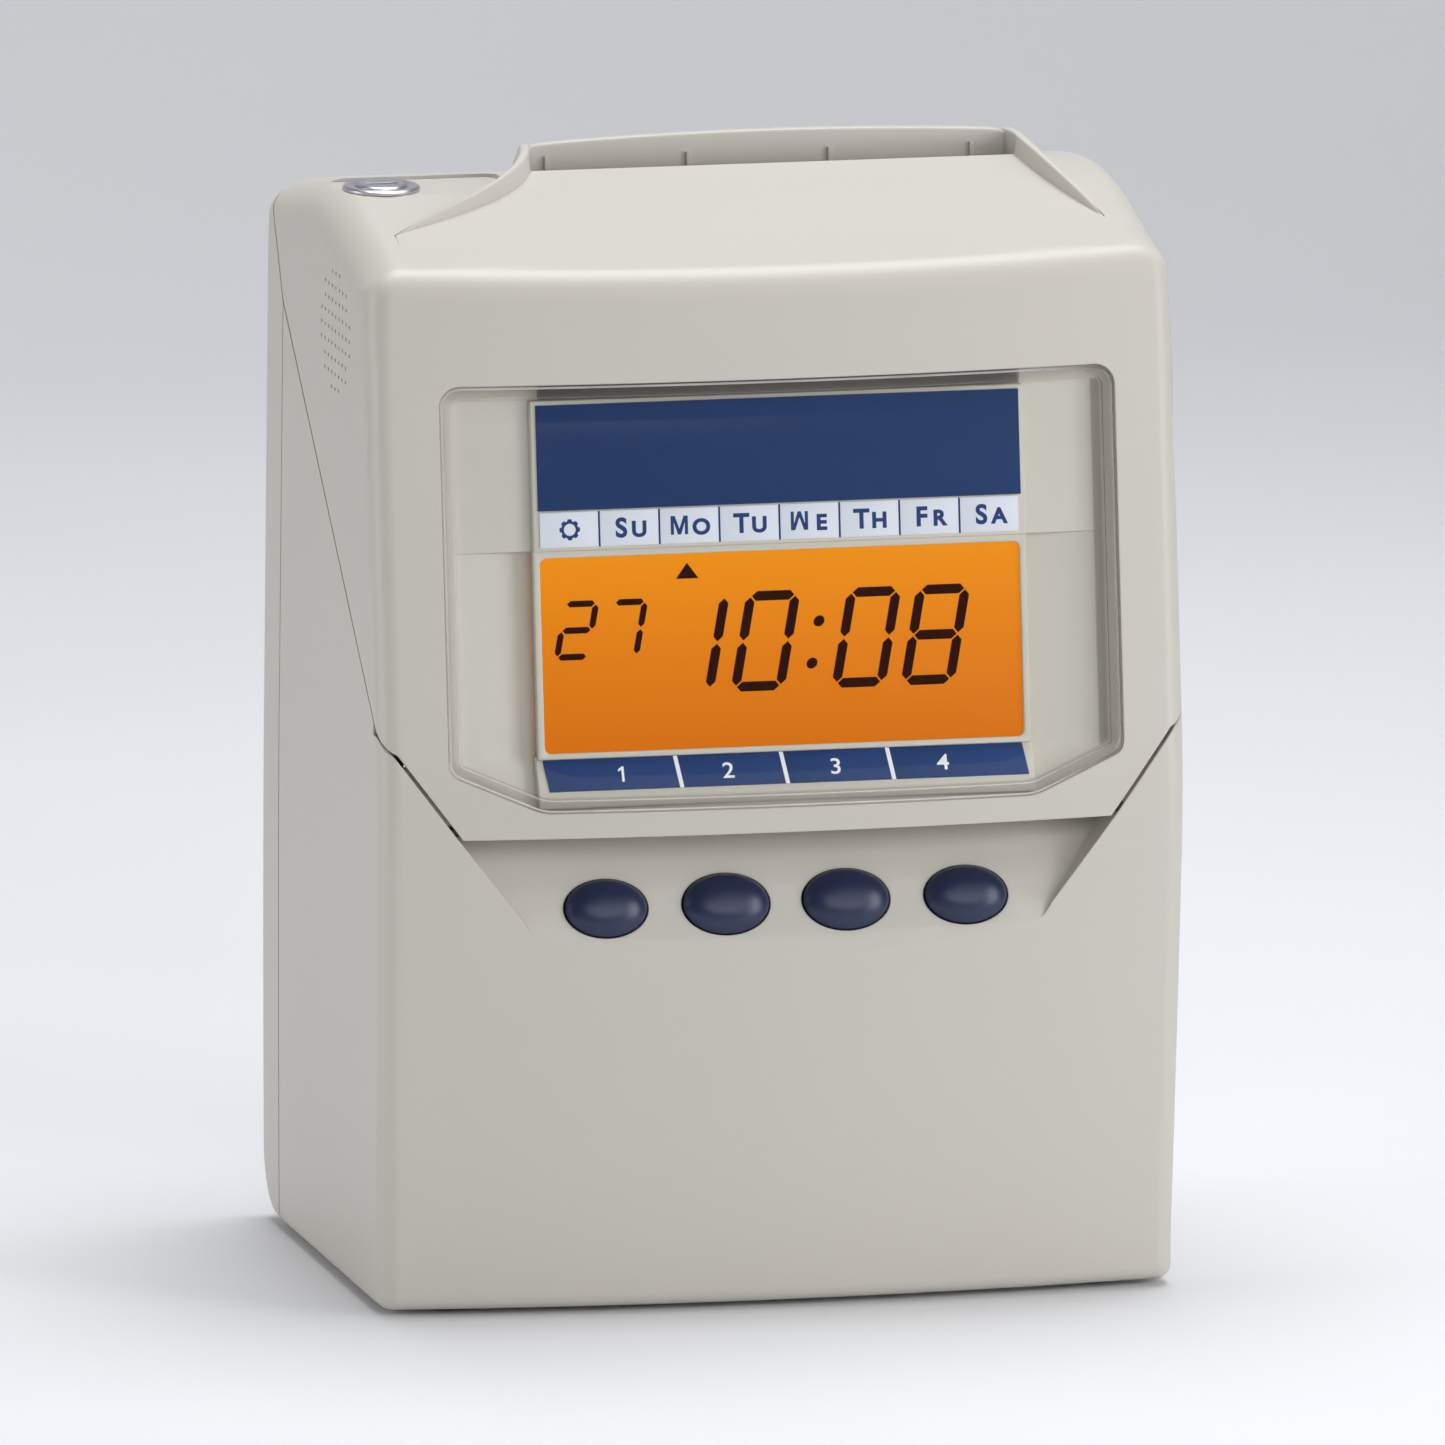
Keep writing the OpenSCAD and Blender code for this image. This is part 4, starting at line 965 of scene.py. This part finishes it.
PLATE = -9.0
RAISED = -5.6
TRAY_T = 1.8
PRINT_T = 0.03
TRAY_BOW = 0.6
CREASE = 184.0
FRAME_HALF = 60.6
LABEL_HALF = 59.0
DAY_W = 2 * LABEL_HALF / 8
LEDGE_RISE, LEDGE_FALL = 0.3, 2.4
LCD_LOW, LCD_HIGH = 135.5, 182.5
LEDGE_LOW = 126.0
HEADER = (193.6, 218.8)
NUMBER_EDGES = (-59.3, -26.4, -0.4, 25.7, 59.5)
DAYS = (184.8, 193.2)


def tray_level(x, s):
    """How deep the surround of the display lies: flat above the crease, hollow beside the lit display."""
    side = abs(x)
    wall = 4.2 * max(0.0, (side - 77) / 8) ** 2
    level = -6.3 + wall
    if s < CREASE:
        hollow = min(1.0, max(0.0, (82 - side) / 22))
        level -= 2.7 * hollow * hollow * (3 - 2 * hollow)
    rise = max(0.0, (135 - s) / 12)
    return min(-2.6, level + 3.4 * rise)


def display_tray():
    xs = np.linspace(-87, 87, 117)
    ss = np.r_[np.linspace(119, CREASE - 0.1, 40), np.linspace(CREASE + 0.05, 229, 20)]
    place = front_matrix()
    bow = BOW * cos(LEAN) * TRAY_BOW
    verts = [place @ Vector((x, s, tray_level(x, s) - bow * x * x)) for s in ss for x in xs]
    n = len(xs)
    faces = [(k, k + 1, k + n + 1, k + n) for k in range(len(verts) - n) if (k + 1) % n]
    tray = new_object("bezel_tray", verts, faces)
    thick = tray.modifiers.new("thick", "SOLIDIFY")
    thick.thickness = TRAY_T / 1000
    bake_modifiers(tray)
    opening = local_slab("opening", rectangle(-58.2, 58.2, LCD_LOW + 0.8, LCD_HIGH - 0.8), -30, 10, place)
    cut(tray, opening)
    outline = [(x, NOSE_Z + (z - NOSE_Z) / cos(LEAN)) for x, z in window_outline(-2.4)]
    trim(tray, local_slab("trim", outline, -30, 20, place))
    smooth(tray, 30)
    header_box = rectangle(-FRAME_HALF, FRAME_HALF, LCD_HIGH + 1.4, 220)
    header = bevel(local_slab("bezel_header", header_box, PLATE, RAISED, place), 0.5, 3)
    ledge_points = [(LCD_LOW - 0.3, PLATE - 1), (LCD_LOW - 0.3, RAISED - LEDGE_FALL),
                    (LEDGE_LOW, RAISED + LEDGE_RISE), (LEDGE_LOW - 3.5, RAISED + LEDGE_RISE),
                    (LEDGE_LOW - 3.5, PLATE - 1)]
    ledge = bevel(cross_slab("bezel_ledge", ledge_points, -61, 61, place), 0.4, 3)
    tray = joined("bezel_tray", [tray, smooth(header), display_frame(place), smooth(ledge)])
    present(tray, "display_bezel", "bezel_plastic")


def display_frame(place):
    """Rounded frame right around the lit display."""
    outline = rectangle(-FRAME_HALF, FRAME_HALF, LCD_LOW - 1.2, LCD_HIGH + 2.0)
    outer = local_slab("frame", outline, PLATE + 0.4, PLATE + 2.6, place)
    opening = rounded_rectangle(0.1 - LABEL_HALF, LABEL_HALF - 0.1, LCD_LOW + 0.2, LCD_HIGH - 0.2, 1.6)
    cut(outer, local_slab("hole", opening, -30, 10, place))
    return smooth(bevel(outer, 0.35, 2))


def flat_label(name, outline, low, high, node, look, matrix, round_by=0.12):
    label = smooth(bevel(local_slab(name, outline, low, high, matrix), round_by, 2))
    present(label, node, look)


def lettering(name, words, matrix, look, weight, strips):
    """Raised print in a local frame: words are (text, x, y, size, stretch), strips are outlines."""
    parts = [local_slab(name, outline, 0.0, PRINT_T, matrix) for outline in strips]
    for text, x, y, size, stretch in words:
        if text in "MW1":
            parts.append(wide_letter(name, text, x, y, size, matrix))
            continue
        curve = bpy.data.curves.new(name, "FONT")
        curve.body = text
        curve.size = size
        curve.extrude = PRINT_T
        curve.offset = weight
        curve.align_x = "CENTER"
        letter = linked(name, curve)
        bpy.context.view_layer.update()
        graph = bpy.context.evaluated_depsgraph_get()
        mesh = bpy.data.meshes.new_from_object(letter.evaluated_get(graph))
        bpy.data.objects.remove(letter)
        for v in mesh.vertices:
            v.co = row(matrix @ Vector((x + v.co.x * stretch, y + v.co.y, v.co.z)))
        parts.append(linked(name, mesh))
    present(joined(name, parts), None, look)


def wide_letter(name, text, x, y, size, matrix):
    """A one with a flag, or M, or W as the same shape upside down, with clean inner corners."""
    half = [(0.0, 0.22), (0.17, 0.7), (0.33, 0.7), (0.33, 0.0), (0.21, 0.0), (0.21, 0.46), (0.06, 0.0)]
    both = half + [(-a, b) for a, b in half[:0:-1]]
    one = [(0.04, 0.0), (0.15, 0.0), (0.15, 0.7), (0.07, 0.7), (-0.11, 0.57), (-0.11, 0.46), (0.04, 0.55)]
    outline = {"M": both, "W": [(a, 0.7 - b) for a, b in both], "1": one}[text]
    return local_slab(name, [(x + a * size, y + b * size) for a, b in outline], 0.0, PRINT_T, matrix)


def day_labels():
    place = front_matrix()
    top = RAISED + 0.42
    edges = [i * DAY_W - LABEL_HALF for i in range(9)]
    cells = [label_cell(rectangle(left, right - 0.45, *DAYS), RAISED, top, place)
             for left, right in zip(edges, edges[1:])]
    present(joined("day_cells", cells), "day_strip", "pale_print")
    words = []
    for left, (first, second) in zip(edges[1:], ("SU", "MO", "TU", "WE", "TH", "FR", "SA")):
        middle = left + DAY_W / 2
        spread = 2.7 if first in "MW" else 2.2
        words.append((first, middle - spread, DAYS[0] + 2.1, 6.4, 0.98))
        words.append((second, middle + spread, DAYS[0] + 2.1, 5.1, 1.05))
    gaps = [rectangle(x - 0.4, x, *DAYS) for x in edges[1:-1]]
    over = place @ moved(0, 0, top)
    lettering("day_letters", words, over, "strip_navy", 0.21, gaps)
    x, s = 7.3 - LABEL_HALF, (DAYS[0] + DAYS[1]) / 2
    outer = [(x + r * cos(a), s + r * sin(a)) for a, r in sun_points()]
    inner = arc(x, s, 1.45, 0, 360, 32)[:-1]
    sun = local_slab("sun_symbol", outer, top - 0.1, top + 0.04, place)
    cut(sun, local_slab("middle", inner, top - 1, top + 1, place))
    present(sun, None, "strip_navy")


def label_cell(outline, low, high, matrix):
    return smooth(bevel(local_slab("cell", outline, low, high, matrix), 0.1, 2))


def sun_points():
    """A ring with eight blunt points, as (angle, radius)."""
    points = []
    for i in range(8):
        a = i * pi / 4
        points += [(a - 0.17, 2.55), (a + 0.17, 2.55), (a + 0.3, 2.1), (a + pi / 4 - 0.3, 2.1)]
    return points


def number_labels():
    run = LCD_LOW - 0.3 - LEDGE_LOW
    turn = Matrix.Rotation(-atan((LEDGE_RISE + LEDGE_FALL) / run), 4, "X")
    place = front_matrix() @ moved(0, LEDGE_LOW, RAISED + LEDGE_RISE) @ turn
    slant, gap = 0.55, 0.5
    def leaning(x0, x1):
        return [(x0 + slant, 0.6), (x1 + slant, 0.6), (x1 - slant, 8.4), (x0 - slant, 8.4)]
    cells = [label_cell(leaning(left + gap, right - gap), 0, 0.42, place)
             for left, right in zip(NUMBER_EDGES, NUMBER_EDGES[1:])]
    present(joined("number_cells", cells), "number_strip", "strip_navy")
    words = [(str(i + 1), -40.6 + i * 26.4, 2.5, 5.4, 1.15) for i in range(4)]
    gaps = [leaning(x - gap, x + gap) for x in NUMBER_EDGES[1:-1]]
    over = place @ moved(0, 0, 0.4)
    lettering("number_digits", words, over, "white_print", 0.05, gaps)


def display():
    display_tray()
    place = front_matrix()
    flat_label("header_label", rectangle(-59.3, 59.3, *HEADER), RAISED, RAISED + 0.5, "header_plate",
               "navy", place)
    glass = rounded_rectangle(-59.1, 59.1, LCD_LOW, LCD_HIGH, 1.8)
    flat_label("lcd_panel", glass, PLATE, PLATE + 1.8, "lcd_glass", "lcd", place, 0.3)
    day_labels()
    number_labels()
    carry("lcd_segments", "lcd_ink", 0)


# ---------- buttons, lock and small outside parts ----------

def button(i, x, width):
    r = width / 2
    profile = [(2.5, -8.4), (2.5, -3.2), (r + 1.4, -3.2), (r + 1.4, -2.6), (r, -2.6), (r, 0.2)]
    for a in np.linspace(0, pi / 2, 15)[1:-1]:
        profile.append((r * cos(a) ** 0.75, 0.2 + (BUTTON_RISE - 0.2) * sin(a) ** 1.25))
    profile.append((POINT, BUTTON_RISE))
    place = panel_matrix() @ moved(x, BUTTON_S, 0)
    cap = smooth(revolve(f"button_cap_{i + 1}", profile, place, 72, BUTTON_RATIO), 50)
    present(cap, f"button_{i + 1}", "button_blue", "button_" + "abcd"[i])


def lock_matrix():
    return moved(LOCK_X, LOCK_Y, LOCK_Z)


def lock():
    rim = [(BARREL_R, -20), (BARREL_R, 0), (9.1, 0), (9.25, 0.25), (9.25, 0.7), (8.9, 1.1), (8.3, 1.25),
           (7.1, 1.2), (6.7, 0.9), (6.35, 0.85), (6.05, 0.5), (6.05, -20)]
    ring = smooth(revolve("lock_ring", rim, lock_matrix(), 96, loop=True), 35)
    present(ring, "lock_barrel", "chrome")
    profile = [(3, -25), (3, -22), (6, -22), (6, 1.1), (5.7, 1.45), (5.2, 1.6), (POINT, 1.5)]
    plug = revolve("lock_core", profile, lock_matrix(), 96)
    key = bevel(local_slab("keyway", rectangle(-4, 4, -0.9, 0.9), -13, 6, lock_matrix()), 0.3, 2)
    cut(plug, key)
    present(smooth(plug, 35), "lock_plug", "chrome", "lock")


def hinge_pins():
    """Blackened pins, kept short of the sockets' blind ends."""
    long = PIN_FAR_X - PIN_NEAR_X
    profile = [(POINT, 0), (0.8, 0), (PIN_R, 0.4), (PIN_R, long - 0.4), (0.8, long), (POINT, long)]
    places = [turned(x, HINGE_Y, HINGE_Z, 90, "Y") for x in (-PIN_FAR_X, PIN_NEAR_X)]
    parts = [revolve("pin", profile, place, 32) for place in places]
    present(smooth(joined("hinge_pin_pair", parts), 40), "hinge_pins", "dark_steel")


def feet():
    profile = [(7, 0), (7, -0.9), (6.7, -1.35), (6.2, -FOOT_H), (3.0, -FOOT_H), (2.6, -1.2), (POINT, -1.2)]
    parts = [revolve("foot", profile, moved(x, y, 0), 48) for x in (-80, 80) for y in (22, 98)]
    present(smooth(joined("foot_pads", parts), 40), "rubber_feet", "rubber", "case")


# ---------- CAD parts shown as they are ----------

def carry(node, look, width=0.25):
    """Gives a CAD part its material and soft edges."""
    obj = smooth(NODES[node], 28)
    obj.data.materials.clear()
    obj.data.materials.append(LOOKS[look])
    if width:
        soften(obj, width, 2, 50)


CARRIED = {
    "diffuser": ("backlight",),
    "circuit_board": ("display_board", "button_board", "main_board"),
    "sheet_metal": ("lock_cam", "chassis_frame"),
    "black_plastic": ("speaker", "pinch_rollers", "carriage", "ribbon_cassette", "power_inlet"),
    "component": ("tact_switches", "board_parts"),
    "steel": ("front_card_guide", "rear_card_guide", "feed_shaft", "pinch_shaft", "case_screws"),
    "rubber": ("platen", "feed_rollers", "timing_belt"),
    "gear_plastic": ("feed_gear", "drive_pulley", "idler_pulley"),
    "motor_can": ("feed_motor", "carriage_motor"),
    "brass": ("motor_pinion",),
    "chrome": ("guide_rods",),
    "head_metal": ("print_head",),
    "ribbon_ink": ("ink_ribbon",),
    "knob": ("ribbon_knob",),
    "battery_wrap": ("backup_battery",),
    "core_steel": ("transformer",),
}


def carried_parts():
    for look, nodes in CARRIED.items():
        for node in nodes:
            carry(node, look)


# ---------- stage, light and camera ----------

VIEW_TURN = radians(14.2)
VIEW_DROP = radians(11.4)
VIEW_ROLL = radians(0.66)
VIEW_FROM = 10.0
VIEW_CENTRE = (0, 60, 130)
VIEW_SHIFT = (-0.00692, -0.00055)
LENS = 1040.0
# the stage is laid out in metres: where its floor starts to sweep up, and how wide the curve is
SWEEP_Y = 1.1
SWEEP_R = 0.9


def stage():
    """A pale floor that sweeps up behind the clock and can be looked through from its back."""
    n = Nodes("floor")
    base = n.ramp(n.noise(1.5, 3.0), [(0.3, srgb(226, 227, 230)), (0.7, srgb(234, 235, 238))])
    paint = n.add("BsdfPrincipled", {"Base Color": base, "Roughness": 0.7})
    behind = n.add("NewGeometry").outputs["Backfacing"]
    look = n.finish_mixed(behind, paint, n.add("BsdfTransparent"))
    turns = [i / 24 * pi / 2 for i in range(25)]
    profile = [(-3.0, 0.0)]
    profile += [(SWEEP_Y + SWEEP_R * sin(a), SWEEP_R * (1 - cos(a))) for a in turns]
    profile.append((SWEEP_Y + SWEEP_R, 4.0))
    verts = [(x, y, z) for x in (-5, 5) for y, z in profile]
    m = len(profile)
    mesh = bpy.data.meshes.new("backdrop")
    mesh.from_pydata(verts, [], [(m + i, m + i + 1, i + 1, i) for i in range(m - 1)])
    mesh.shade_smooth()
    mesh.materials.append(look)
    linked("backdrop", mesh)


def lamp(name, place, size, power, colour=(1, 1, 1)):
    """A soft rectangular light aimed at the middle of the clock."""
    light = bpy.data.lights.new(name, "AREA")
    light.shape = "RECTANGLE"
    light.size, light.size_y = size
    light.energy = power
    light.color = colour
    obj = linked(name, light)
    obj.location = place
    obj.rotation_euler = (Vector((0, 0, 0.14)) - Vector(place)).to_track_quat("-Z", "Y").to_euler()


def lights():
    lamp("top", (0.15, 0.25, 1.5), (1.0, 0.8), 19, colour=(0.95, 0.97, 1.0))
    lamp("right", (1.3, -1.1, 0.5), (0.7, 1.1), 13)
    lamp("front", (0.2, -1.7, 0.8), (1.4, 0.8), 8)
    lamp("left", (-1.6, 0.1, 0.4), (0.8, 1.1), 9)
    world = bpy.data.worlds.new("studio")
    world.use_nodes = True
    background = world.node_tree.nodes["Background"]
    background.inputs["Color"].default_value = (1.0, 0.99, 0.97, 1)
    background.inputs["Strength"].default_value = 0.2
    bpy.context.scene.world = world
    bpy.context.scene.view_settings.view_transform = "Standard"


def camera():
    """A long lens far away, so that the view is close to parallel."""
    data = bpy.data.cameras.new("camera")
    data.lens = LENS
    data.sensor_width = 36
    data.clip_end = 60
    data.shift_x, data.shift_y = VIEW_SHIFT
    obj = linked("camera", data)
    turn = Matrix.Rotation(-VIEW_TURN, 4, "Z") @ Matrix.Rotation(pi / 2 - VIEW_DROP, 4, "X")
    roll = Matrix.Rotation(VIEW_ROLL, 4, "Z")
    obj.matrix_world = moved(*row(VIEW_CENTRE)) @ turn @ roll @ moved(0, 0, VIEW_FROM)
    bpy.context.scene.camera = obj


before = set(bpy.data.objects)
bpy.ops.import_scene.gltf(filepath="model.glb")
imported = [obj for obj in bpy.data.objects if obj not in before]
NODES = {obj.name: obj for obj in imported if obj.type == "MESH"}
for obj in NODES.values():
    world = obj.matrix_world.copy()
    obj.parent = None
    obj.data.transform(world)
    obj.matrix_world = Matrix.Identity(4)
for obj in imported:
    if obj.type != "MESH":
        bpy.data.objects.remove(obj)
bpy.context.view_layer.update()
LOOKS = make_materials()

build_case()
window_lens()
display()
for index, (button_x, button_width) in enumerate(button_places()):
    button(index, button_x, button_width)
lock()
hinge_pins()
feet()
carried_parts()
stage()
lights()
camera()
